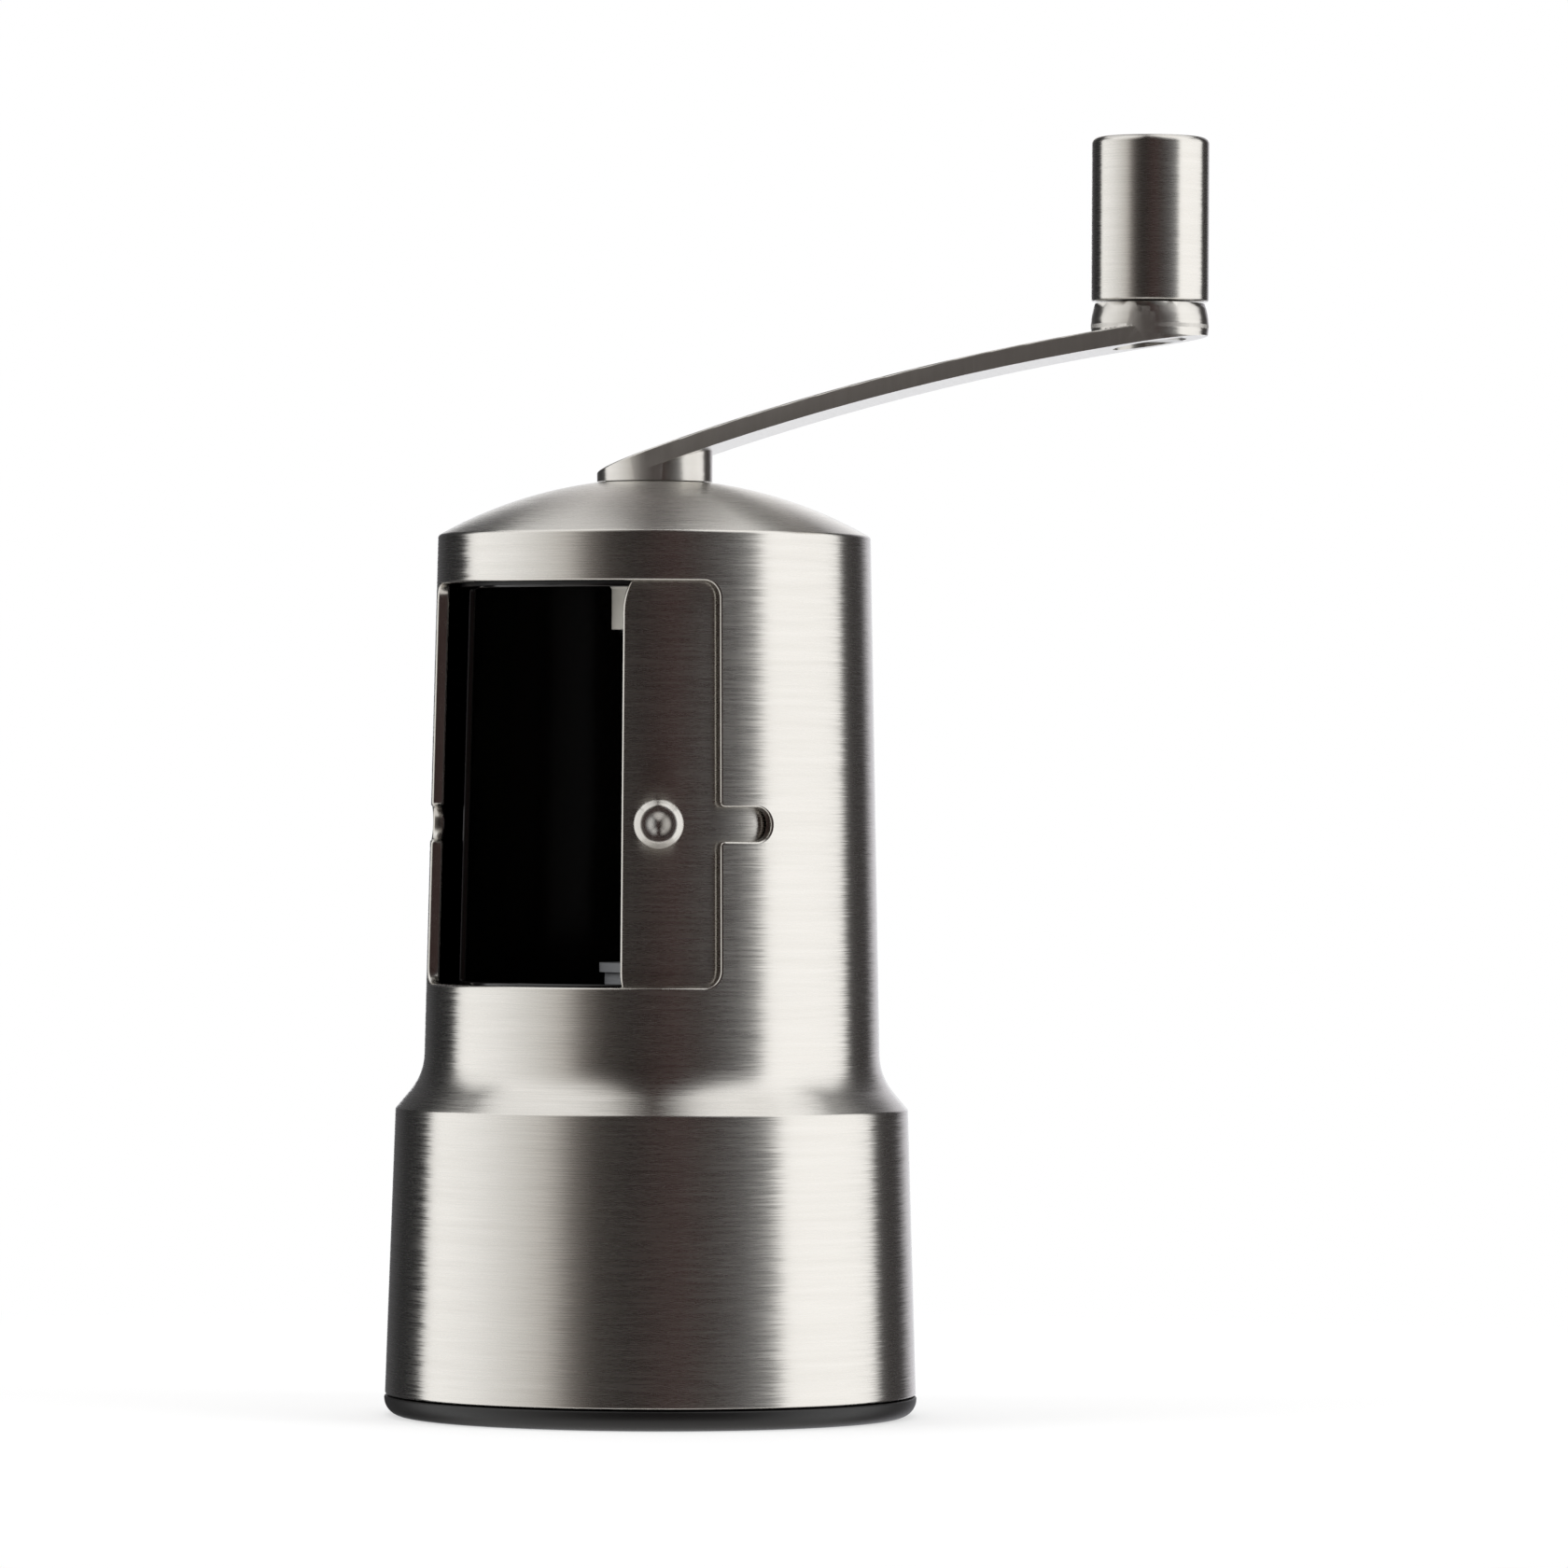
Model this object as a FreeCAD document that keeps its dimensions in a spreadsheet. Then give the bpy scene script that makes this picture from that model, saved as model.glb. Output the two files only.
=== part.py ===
import FreeCAD, Part
import math
import os
import re

import Sketcher

doc = FreeCAD.newDocument("coffee_grinder")

# Driving sizes in millimetres and degrees. Heights are measured from the floor.
SIZES = (
    ("wall", "1.8", "steel shell wall"),
    ("skirt_foot_z", "3.3", "lower edge of the steel"),
    ("skirt_foot_r", "40.0", "steel radius at its lower edge"),
    ("skirt_height", "42.9", "skirt from its lower edge to its crease"),
    ("crease_z", "=skirt_foot_z + skirt_height", "edge at the top of the skirt"),
    ("skirt_taper", "1.4", "radius lost up the skirt"),
    ("crease_r", "=skirt_foot_r - skirt_taper", "radius at that edge"),
    ("shoulder_rise", "5.1", "height of the unrounded shoulder"),
    ("shoulder_z", "=crease_z + shoulder_rise", "where skirt cone and grip would meet unrounded"),
    ("shoulder_step", "4.25", "inward step of the shoulder"),
    ("grip_foot_r", "=crease_r - shoulder_step", "grip radius at the shoulder"),
    ("grip_height", "81.1", "grip from the shoulder to the dome"),
    ("rim_z", "=shoulder_z + grip_height", "edge of the dome"),
    ("grip_taper", "1.75", "radius lost up the grip"),
    ("rim_r", "=grip_foot_r - grip_taper", "grip radius under the dome"),
    ("dome_rise", "8.7", "dome height over its edge"),
    ("dome_hole_r", "7.5", "hole for the top bush"),
    ("shoulder_fillet", "9", "outside radius of the shoulder"),
    ("rim_fillet", "0.6", "rounding of the dome edge"),
    ("edge_break", "0.35", "broken edges"),
    ("window_angle", "100", "width of the filling window about the axis"),
    ("window_lift", "13.7", "window foot over the shoulder"),
    ("window_low_z", "=shoulder_z + window_lift", "window foot"),
    ("window_drop", "7.4", "window head under the dome edge"),
    ("window_high_z", "=rim_z - window_drop", "window head"),
    ("window_corner", "2.5", "window corner radius"),
    ("window_facing", "-90", "direction the window faces, from +X"),
    ("notch_share", "0.4016667", "notch height as a share of the window"),
    ("notch_z", "=window_low_z + (window_high_z - window_low_z) * notch_share",
     "height of the button notches"),
    ("notch_height", "5", "height of a notch"),
    ("notch_angle", "14.2", "reach of a notch past the window edge"),
    ("notch_entry", "0.8", "rounding where a notch meets the window"),
    ("door_gap", "0.4", "play on each side of the door plate"),
    ("door_plate", "1", "door plate thickness"),
    ("door_lap_low", "7", "door below the window"),
    ("door_low_z", "=window_low_z - door_lap_low", "door foot"),
    ("door_lap_high", "4.5", "door above the window"),
    ("door_high_z", "=window_high_z + door_lap_high", "door head"),
    ("door_corner", "9", "door corner radius"),
    ("door_angle", "138", "door width about the axis"),
    ("door_rest", "-66", "direction of the leading door edge, from +X"),
    ("button_angle", "10", "button from the leading door edge"),
    ("button_head_r", "3.7", "button head radius"),
    ("button_head_height", "2.6", "button head height"),
    ("button_stem_r", "2.3", "button stem in the notch"),
    ("button_lift", "0.45", "head clear of the shell"),
    ("rivet_r", "1.2", "thread of the button screw"),
    ("rail_lip", "1.2", "thickness of the rails behind the door"),
    ("rail_cover", "0.4", "how far the top rail shows in the window"),
    ("liner_wall", "1", "black liner thickness"),
    ("liner_margin", "4", "liner window wider than the shell window"),
    ("fit", "0.05", "close fit between pieces that don't move"),
    ("run_fit", "0.06", "running fit of the shafts"),
    ("shaft_r", "4", "drive shaft"),
    ("shaft_square", "5.5", "square on the shaft, across flats"),
    ("shaft_thread_r", "2.5", "thread under the square"),
    ("spigot_r", "3.2", "shaft end in the crank hub"),
    ("spigot_height", "2.7", "depth of that end"),
    ("bush_show", "6.6", "top bush below the window head"),
    ("bush_low_z", "=window_high_z - bush_show", "foot of the top bush"),
    ("bush_r", "6.4", "top bush outside"),
    ("bush_collar_r", "7", "top bush above its flare"),
    ("bush_flange_r", "10.5", "bush flange under the dome"),
    ("clip_r", "5.2", "retaining clip outside"),
    ("clip_height", "0.7", "retaining clip thickness"),
    ("clip_groove", "0.7", "clip groove depth"),
    ("crank_angle", "24.2", "crank direction at rest, from +X"),
    ("crank_reach", "74.8", "knob axis from shaft axis"),
    ("hub_r", "8.7", "hub, bar half width and boss"),
    ("hub_sink", "0.2", "hub underside below the dome's crown"),
    ("hub_low_z", "=rim_z + dome_rise - hub_sink", "underside of the hub"),
    ("hub_height", "4.35", "bar top over the hub underside"),
    ("arm_root_z", "=hub_low_z + hub_height", "bar top over the shaft axis"),
    ("arm_climb", "18.81", "climb of the bar to the knob axis"),
    ("arm_tip_z", "=arm_root_z + arm_climb", "bar top carried on to the knob axis"),
    ("arm_bow_r", "395", "radius of the bar's bow"),
    ("arm_depth", "2.7", "bar thickness"),
    ("boss_rise", "3.24", "boss over the bar"),
    ("boss_high_z", "=arm_tip_z + boss_rise", "top of the end boss"),
    ("boss_high_r", "8.2", "boss radius at its top"),
    ("boss_bow_r", "9", "radius of the boss side"),
    ("recess_r", "5.5", "recess under the arm end"),
    ("recess_depth", "1.8", "depth of that recess"),
    ("axle_r", "3", "knob axle"),
    ("knob_gap", "0.3", "knob clear of the boss"),
    ("knob_low_z", "=boss_high_z + knob_gap", "underside of the knob"),
    ("knob_height", "24.6", "knob height"),
    ("knob_high_z", "=knob_low_z + knob_height", "top of the knob"),
    ("knob_crown", "5.2", "axle end under the knob top"),
    ("axle_high_z", "=knob_high_z - knob_crown", "top of the axle"),
    ("knob_r", "8.8", "knob radius"),
    ("knob_bore_r", "4.2", "bore for the knob bush"),
    ("knob_round", "1", "rounding of the knob top"),
    ("flange_drop", "3.2", "hopper flange under the crease"),
    ("hopper_low_z", "=crease_z - flange_drop", "underside of the hopper flange"),
    ("deck_rise", "3", "hopper face over its flange"),
    ("deck_z", "=hopper_low_z + deck_rise", "hopper face over the burr housing"),
    ("funnel_lip", "4", "funnel foot over the hopper face"),
    ("throat_z", "=deck_z + funnel_lip", "foot of the funnel"),
    ("seat_drop", "5", "liner seat under the window"),
    ("liner_seat_z", "=window_low_z - seat_drop", "seat of the liner"),
    ("screw_r", "1.4", "housing screw thread"),
    ("screw_head_r", "2.8", "housing screw head"),
    ("screw_gap", "0.7", "screw heads clear of the housing wall"),
    ("screw_head_height", "2", "housing screw head height"),
    ("screw_bite", "6", "screw thread in the hopper"),
    ("screw_high_z", "=deck_z + screw_bite", "top of the housing screws"),
    ("housing_depth", "25", "burr housing under the hopper face"),
    ("housing_low_z", "=deck_z - housing_depth", "burr housing foot"),
    ("burr_r", "20", "outer burr outside"),
    ("housing_wall", "3", "burr housing wall"),
    ("housing_r", "=burr_r + housing_wall", "burr housing outside"),
    ("screw_ring_r", "=housing_r + screw_gap + screw_head_r", "circle of the housing screws"),
    ("housing_lip", "3", "lip under the outer burr"),
    ("burr_low_z", "=housing_low_z + housing_lip", "outer burr seat"),
    ("burr_drop", "4", "outer burr under the hopper face"),
    ("burr_high_z", "=deck_z - burr_drop", "outer burr top"),
    ("burr_mouth_r", "=burr_r * 0.85", "outer burr mouth"),
    ("throat_r", "=burr_mouth_r", "hopper throat"),
    ("burr_waist_r", "=burr_r * 0.67", "outer burr at its narrowest"),
    ("waist_lift", "7", "waist over the burr seat"),
    ("burr_waist_z", "=burr_low_z + waist_lift", "height of that waist"),
    ("burr_exit_r", "=burr_r * 0.78", "outer burr at its foot"),
    ("cone_lift", "0.5", "inner burr foot over the burr seat"),
    ("cone_low_z", "=burr_low_z + cone_lift", "inner burr foot"),
    ("wheel_height", "6.5", "adjuster wheel height"),
    ("nut_wheel_z", "=cone_low_z - wheel_height", "underside of the adjuster wheel"),
    ("nut_collar", "4", "adjuster collar under its wheel"),
    ("nut_low_z", "=nut_wheel_z - nut_collar", "foot of the adjuster"),
    ("shaft_tail", "5", "shaft end under the adjuster"),
    ("shaft_foot_z", "=nut_low_z - shaft_tail", "lower end of the shaft"),
    ("cone_rise", "1", "inner burr over the outer burr"),
    ("cone_high_z", "=burr_high_z + cone_rise", "inner burr top"),
    ("grind_gap", "0.4", "grinding gap at the burr foot"),
    ("waist_gap", "0.5", "grinding gap at the burr waist"),
    ("cone_low_r", "=burr_exit_r - grind_gap", "inner burr at its foot"),
    ("cone_waist_r", "=burr_waist_r - waist_gap", "inner burr at its bend"),
    ("cone_high_r", "=burr_r * 0.48", "inner burr top radius"),
    ("core_r", "=burr_r * 0.36", "bore of the inner burr"),
    ("groove_width", "1", "burr groove width"),
    ("spider_lift", "2.2", "spider arms over the outer burr"),
    ("spider_low_z", "=burr_high_z + spider_lift", "underside of the spider arms"),
    ("spider_arm", "3.8", "height of the arms"),
    ("spider_width", "3.4", "width of the arms"),
    ("tower_r", "7.2", "bearing tower"),
    ("tower_bore_r", "5.2", "bore for the lower bush"),
    ("tower_height", "24", "bearing tower height"),
    ("tower_high_z", "=spider_low_z + tower_height", "top of the tower"),
    ("tower_cap_r", "8", "flange on the tower"),
    ("tower_cap", "1.4", "flange height"),
    ("washer_height", "0.75", "thrust washer"),
    ("spring_depth", "8", "depth of the spring in the core"),
    ("spring_low_z", "=cone_high_z - spring_depth", "spring seat in the core"),
    ("spring_r", "5.15", "spring mean radius"),
    ("spring_wire_r", "0.45", "spring wire"),
    ("spring_turns", "5", "spring turns"),
    ("nut_r", "10", "adjuster wheel"),
    ("nut_scallop_r", "2.6", "finger scallops"),
    ("lid_overhang", "0.1", "lid proud of the steel"),
    ("lid_r", "=skirt_foot_r + lid_overhang", "lid radius"),
    ("lid_gap", "0.25", "shadow line between lid and steel"),
    ("lid_high_z", "=skirt_foot_z - lid_gap", "top of the lid flange"),
    ("lid_round", "2.7", "rounding under the lid"),
    ("lid_floor", "2.4", "lid floor"),
    ("plug_play", "0.55", "lid plug clear of the steel foot"),
    ("plug_r", "=skirt_foot_r - wall - plug_play", "lid plug"),
    ("plug_wall", "2.2", "lid plug wall"),
    ("plug_height", "7.95", "lid plug over its flange"),
    ("plug_high_z", "=lid_high_z + plug_height", "top of the plug"),
    ("seal_lift", "3.45", "seal over the lid flange"),
    ("seal_z", "=lid_high_z + seal_lift", "height of the seal"),
    ("seal_r", "0.7", "seal section radius"),
)

sheet = doc.addObject("Spreadsheet::Sheet", "Sizes")
for row, (alias, number, note) in enumerate(SIZES, 1):
    sheet.set(f"A{row}", note)
    sheet.set(f"B{row}", number)
    sheet.setAlias(f"B{row}", alias)
doc.recompute()

NAMES = {alias for alias, number, note in SIZES}


def linked(text):
    """The expression with each size name pointed at its cell."""
    return re.sub(r"[a-z_]+", lambda m: "Sizes." + m[0] if m[0] in NAMES else m[0], text)


def value(text):
    found = sheet.evalExpression(linked(text))
    return float(getattr(found, "Value", found))


def bind(item, prop, text):
    item.setExpression(prop, linked(text))


def grip(z):
    """Outside radius of the grip at a height."""
    return f"(grip_foot_r + (rim_r - grip_foot_r) * (({z}) - shoulder_z) / (rim_z - shoulder_z))"


def skirt_inside(z):
    slope = "(skirt_foot_r - crease_r) / (crease_z - skirt_foot_z)"
    return f"(crease_r - wall + {slope} * (crease_z - ({z})))"


def door_face(z):
    return f"({grip(z)} - wall - door_gap)"


def rail_face(z):
    return f"({door_face(z)} - door_plate - door_gap)"


def liner_face(z):
    return f"({rail_face(z)} - rail_lip - fit)"


DOME_R = "((rim_r ^ 2 + dome_rise ^ 2) / (2 * dome_rise))"
DOME_Z = f"(rim_z + dome_rise - {DOME_R})"
WALL_DROP = "(wall * tan(atan((crease_r - grip_foot_r) / (shoulder_z - crease_z)) / 2))"
ARM_RISE = "(arm_tip_z - arm_root_z)"
ARM_LEAN = f"sqrt(arm_bow_r ^ 2 / (crank_reach ^ 2 + {ARM_RISE} ^ 2) - 0.25)"
ARM_X = f"(crank_reach / 2 + {ARM_RISE} * {ARM_LEAN})"
ARM_Z = f"((arm_root_z + arm_tip_z) / 2 - crank_reach * {ARM_LEAN})"


def dome(r, skin):
    """Height of the dome's outside, or of its inside for skin = wall."""
    return f"({DOME_Z} + sqrt(({DOME_R} - {skin}) ^ 2 - ({r}) ^ 2))"


def arm(x, skin):
    """Height of the bar's top, or of its underside for skin = arm_depth."""
    return f"({ARM_Z} + sqrt((arm_bow_r - {skin}) ^ 2 - (({x}) - {ARM_X}) ^ 2))"


def new_body(name):
    body = doc.addObject("PartDesign::Body", name)
    body.Label = name
    return body


def new_sketch(body, role):
    sketch = body.newObject("Sketcher::SketchObject", f"{body.Name}_sketch")
    plane = next(item for item in body.Origin.OriginFeatures if item.Role == role)
    sketch.AttachmentSupport = [(plane, "")]
    sketch.MapMode = "FlatFace"
    return sketch


def pin(sketch, edge, end, x, y):
    """Fix a point of the sketch at a pair of expressions."""
    for kind, axis, text in (("DistanceX", -2, x), ("DistanceY", -1, y)):
        if text == "0":
            sketch.addConstraint(Sketcher.Constraint("PointOnObject", edge, end, axis))
        else:
            index = sketch.addConstraint(Sketcher.Constraint(kind, -1, 1, edge, end, value(text)))
            bind(sketch, f"Constraints[{index}]", text)


def arc_between(start, end, radius):
    """The short arc that turns anticlockwise from one point to the next."""
    chord = end - start
    side = FreeCAD.Vector(-chord.y, chord.x, 0).normalize()
    centre = (start + end) / 2 + side * math.sqrt(radius ** 2 - chord.Length ** 2 / 4)
    circle = Part.Circle(centre, FreeCAD.Vector(0, 0, 1), radius)
    return Part.ArcOfCircle(circle, circle.parameter(start), circle.parameter(end))


def outline(sketch, corners):
    """A closed outline. A third value bends the edge that leaves that corner
    clockwise by that radius, and a fourth, "left", bends it the other way."""
    points = [FreeCAD.Vector(value(c[0]), value(c[1]), 0) for c in corners]
    ends = []
    for index, corner in enumerate(corners):
        start = points[index]
        end = points[(index + 1) % len(points)]
        if len(corner) == 4:
            edge = sketch.addGeometry(arc_between(start, end, value(corner[2])), False)
            ends.append((edge, 1, 2))
        elif len(corner) == 3:
            edge = sketch.addGeometry(arc_between(end, start, value(corner[2])), False)
            ends.append((edge, 2, 1))
        else:
            edge = sketch.addGeometry(Part.LineSegment(start, end), False)
            ends.append((edge, 1, 2))
    for index, corner in enumerate(corners):
        before = ends[index - 1]
        here = ends[index]
        sketch.addConstraint(Sketcher.Constraint("Coincident", before[0], before[2], here[0], here[1]))
        pin(sketch, here[0], here[1], corner[0], corner[1])
        if len(corner) > 2:
            limit = sketch.addConstraint(Sketcher.Constraint("Radius", here[0], value(corner[2])))
            bind(sketch, f"Constraints[{limit}]", corner[2])


def ring(sketch, x, y, radius):
    at = FreeCAD.Vector(value(x), value(y), 0)
    edge = sketch.addGeometry(Part.Circle(at, FreeCAD.Vector(0, 0, 1), value(radius)), False)
    pin(sketch, edge, 3, x, y)
    limit = sketch.addConstraint(Sketcher.Constraint("Radius", edge, value(radius)))
    bind(sketch, f"Constraints[{limit}]", radius)


def box(sketch, x0, x1, y0, y1):
    outline(sketch, ((x0, y0), (x1, y0), (x1, y1), (x0, y1)))


def feature(body, kind, sketch):
    item = body.newObject(f"PartDesign::{kind}", f"{body.Name}_{kind.lower()}")
    item.Profile = sketch
    return item


def revolve(body, corners, kind="Revolution", axis_x=None, angle=None):
    """A section in the XZ plane turned about the upright axis at axis_x."""
    sketch = new_sketch(body, "XZ_Plane")
    if axis_x:
        bind(sketch, "AttachmentOffset.Base.x", axis_x)
    outline(sketch, corners)
    item = feature(body, kind, sketch)
    item.ReferenceAxis = (sketch, ["V_Axis"])
    item.Angle = 360
    if angle:
        bind(item, "Angle", angle)
    return item


def turned(name, corners, axis_x=None):
    body = new_body(name)
    revolve(body, corners, axis_x=axis_x)
    return body


def flat_sketch(body, z):
    sketch = new_sketch(body, "XY_Plane")
    bind(sketch, "AttachmentOffset.Base.z", z)
    return sketch


def side_sketch(body, angle):
    """A sketch facing outward along a direction in plan."""
    sketch = new_sketch(body, "YZ_Plane")
    sketch.AttachmentOffset = FreeCAD.Placement(
        FreeCAD.Vector(), FreeCAD.Rotation(FreeCAD.Vector(0, 1, 0), 1))
    bind(sketch, "AttachmentOffset.Rotation.Angle", angle)
    return sketch


def pad(body, sketch, length):
    item = feature(body, "Pad", sketch)
    bind(item, "Length", length)
    return item


def pocket(body, sketch, length, up=True):
    item = feature(body, "Pocket", sketch)
    item.Reversed = up
    bind(item, "Length", length)
    return item


def pocket_through(body, sketch):
    item = feature(body, "Pocket", sketch)
    item.SideType = "Symmetric"
    item.Type = "ThroughAll"
    return item


def spread(body, item, count):
    """The feature repeated round the axis."""
    pattern = body.newObject("PartDesign::PolarPattern", f"{body.Name}_pattern")
    pattern.Originals = [item]
    axis = next(found for found in body.Origin.OriginFeatures if found.Role == "Z_Axis")
    pattern.Axis = (axis, [""])
    pattern.Angle = 360
    pattern.Occurrences = count
    body.Tip = pattern
    return pattern


def rounded(body, radius, wanted, kind="Fillet"):
    """Round or bevel every edge of the body that the test picks."""
    doc.recompute()
    tip = body.Tip
    names = [f"Edge{n}" for n, edge in enumerate(tip.Shape.Edges, 1) if wanted(edge)]
    item = body.newObject(f"PartDesign::{kind}", f"{body.Name}_{kind.lower()}")
    item.Base = (tip, names)
    bind(item, "Radius" if kind == "Fillet" else "Size", radius)
    return item


def turn_to(body, angle):
    bind(body, "Placement.Rotation.Angle", angle)


def near(a, b):
    return abs(a - b) < 0.01


def circle_at(r, z):
    """Test for the whole circle of a radius and height."""
    def wanted(edge):
        box = edge.BoundBox
        return near(box.ZMin, value(z)) and near(box.ZMax, value(z)) and near(box.XMax, value(r))
    return wanted


def radial_at(angle, heights):
    """Test for straight edges that run outward at plus or minus an angle."""
    def wanted(edge):
        middle = edge.BoundBox.Center
        level = any(near(middle.z, value(z)) for z in heights)
        return level and edge.BoundBox.ZLength < 0.01 and near(
            abs(math.degrees(math.atan2(middle.y, middle.x))), value(angle))
    return wanted


# Steel shell
shell = new_body("outer_shell")
revolve(shell, (
    ("dome_hole_r", dome("dome_hole_r", "0"), DOME_R),
    ("rim_r", "rim_z"),
    ("grip_foot_r", "shoulder_z"),
    ("crease_r", "crease_z"),
    ("skirt_foot_r", "skirt_foot_z"),
    ("skirt_foot_r - wall", "skirt_foot_z"),
    ("crease_r - wall", f"crease_z - {WALL_DROP}"),
    ("grip_foot_r - wall", f"shoulder_z - {WALL_DROP}"),
    ("rim_r - wall", dome("rim_r - wall", "wall"), f"{DOME_R} - wall", "left"),
    ("dome_hole_r", dome("dome_hole_r", "wall")),
))
rounded(shell, "shoulder_fillet", circle_at("grip_foot_r", "shoulder_z"))
rounded(shell, "shoulder_fillet + wall", circle_at("grip_foot_r - wall", f"shoulder_z - {WALL_DROP}"))
rounded(shell, "rim_fillet", circle_at("rim_r", "rim_z"))
WINDOW_EDGE = "window_angle / 2"
WINDOW_CUT = ("grip_foot_r * 0.75", "grip_foot_r * 1.25")
NOTCH_LOW = "notch_z - notch_height / 2"
NOTCH_HIGH = "notch_z + notch_height / 2"
NOTCH_END = f"({WINDOW_EDGE} + notch_angle - 2 * asin(notch_height / 4 / {grip('notch_z')}) / (1 deg))"


def sector(body, low, high, angle, near_r, far_r):
    """Cut a sector out of the wall, its ends square to the wall."""
    item = revolve(
        body, ((near_r, low), (far_r, low), (far_r, high), (near_r, high)), kind="Groove", angle=angle)
    item.Midplane = True
    return item


sector(shell, "window_low_z", "window_high_z", "window_angle", *WINDOW_CUT)
rounded(shell, "window_corner", radial_at(WINDOW_EDGE, ("window_low_z", "window_high_z")))
sector(shell, NOTCH_LOW, NOTCH_HIGH, f"2 * {NOTCH_END}", *WINDOW_CUT)
for side in ("", "-1 * "):
    end_sketch = side_sketch(shell, side + NOTCH_END)
    ring(end_sketch, "0", "notch_z", "notch_height / 2")
    pocket(shell, end_sketch, "skirt_foot_r")
rounded(shell, "notch_entry", radial_at(WINDOW_EDGE, (NOTCH_LOW, NOTCH_HIGH)))
turn_to(shell, "window_facing")

# Door with its button and screw
door = new_body("sliding_door")
revolve(door, (
    (door_face("door_low_z"), "door_low_z"),
    (door_face("door_high_z"), "door_high_z"),
    (f"{door_face('door_high_z')} - door_plate", "door_high_z"),
    (f"{door_face('door_low_z')} - door_plate", "door_low_z"),
), angle="door_angle")


def cut_door_corner(angle, sign, edge_z, up):
    """Round one corner of the door, seen square on to its end edge."""
    sketch = side_sketch(door, angle)
    bend = ("door_corner",) if sign == up else ("door_corner", "left")
    outline(sketch, (
        (f"{-sign} * fit", f"{edge_z} - {up} * door_corner"),
        ("0", f"{edge_z} - {up} * door_corner", *bend),
        (f"{sign} * door_corner", edge_z),
        (f"{sign} * door_corner", f"{edge_z} + {up} * fit"),
        (f"{-sign} * fit", f"{edge_z} + {up} * fit"),
    ))
    pocket(door, sketch, "skirt_foot_r")


for end_angle, inward in (("0", 1), ("door_angle", -1)):
    cut_door_corner(end_angle, inward, "door_high_z", 1)
    cut_door_corner(end_angle, inward, "door_low_z", -1)
screw_hole = side_sketch(door, "button_angle")
ring(screw_hole, "0", "notch_z", "rivet_r + fit * 4")
pocket(door, screw_hole, "skirt_foot_r")
turn_to(door, "door_rest")


def radial_turned(name, corners):
    """A piece turned about the button's axis, lying along X until it is placed."""
    body = new_body(name)
    sketch = flat_sketch(body, "notch_z")
    outline(sketch, corners)
    item = feature(body, "Revolution", sketch)
    item.ReferenceAxis = (sketch, ["H_Axis"])
    item.Angle = 360
    turn_to(body, "door_rest + button_angle")
    return body


STEM_FOOT = f"({door_face('notch_z')} + fit)"
HEAD_FOOT = f"({grip('notch_z')} + button_lift)"
HEAD_TOP = f"({HEAD_FOOT} + button_head_height)"
radial_turned("door_button", (
    (f"{HEAD_FOOT} + fit", "0"),
    (f"{HEAD_FOOT} + fit", "rivet_r + fit"),
    (STEM_FOOT, "rivet_r + fit"),
    (STEM_FOOT, "button_stem_r"),
    (HEAD_FOOT, "button_stem_r"),
    (HEAD_FOOT, "button_head_r * 0.84", "button_head_r"),
    (f"{HEAD_FOOT} + button_head_height * 0.2", "button_head_r * 0.97", "button_head_r"),
    (f"{HEAD_FOOT} + button_head_height * 0.45", "button_head_r", "button_head_r"),
    (f"{HEAD_FOOT} + button_head_height * 0.8", "button_head_r * 0.93", "button_head_r"),
    (HEAD_TOP, "button_head_r * 0.78"),
    (HEAD_TOP, "button_head_r * 0.7"),
    (f"{HEAD_TOP} - button_head_height * 0.3", "0"),
))
SCREW_SEAT = f"({door_face('notch_z')} - door_plate - fit * 2)"
radial_turned("button_screw", (
    (f"{SCREW_SEAT} - 0.8", "0"),
    (f"{SCREW_SEAT} - 0.8", "rivet_r * 1.6"),
    (SCREW_SEAT, "rivet_r * 1.8"),
    (SCREW_SEAT, "rivet_r"),
    (HEAD_FOOT, "rivet_r"),
    (HEAD_FOOT, "0"),
))

# Rails and liner inside the grip
RAIL_FOOT = "(window_high_z - rail_cover)"
RAIL_ROOF = "(door_high_z + fit * 4)"
turned("upper_door_guide", (
    (f"{rail_face(RAIL_FOOT)} - rail_lip", RAIL_FOOT),
    (rail_face(RAIL_FOOT), RAIL_FOOT),
    (rail_face(RAIL_ROOF), RAIL_ROOF),
    ("rim_r - wall - fit", RAIL_ROOF),
    ("rim_r - wall - fit", f"{RAIL_ROOF} + wall / 2"),
    (f"{rail_face(RAIL_ROOF)} - rail_lip", f"{RAIL_ROOF} + wall / 2"),
))
liner = new_body("hopper_liner")
LINER_FOOT = "(liner_seat_z + fit)"
LINER_HEAD = f"({RAIL_ROOF} + wall / 2)"
revolve(liner, (
    (f"{liner_face(LINER_FOOT)} - liner_wall", LINER_FOOT),
    (liner_face(LINER_FOOT), LINER_FOOT),
    (liner_face(LINER_HEAD), LINER_HEAD),
    (f"{liner_face(LINER_HEAD)} - liner_wall", LINER_HEAD),
))
sector(liner, "window_low_z + rail_cover", "window_high_z - rail_cover * 2",
       "window_angle + liner_margin", "grip_foot_r * 0.6", "grip_foot_r * 1.2")
turn_to(liner, "window_facing")

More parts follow.
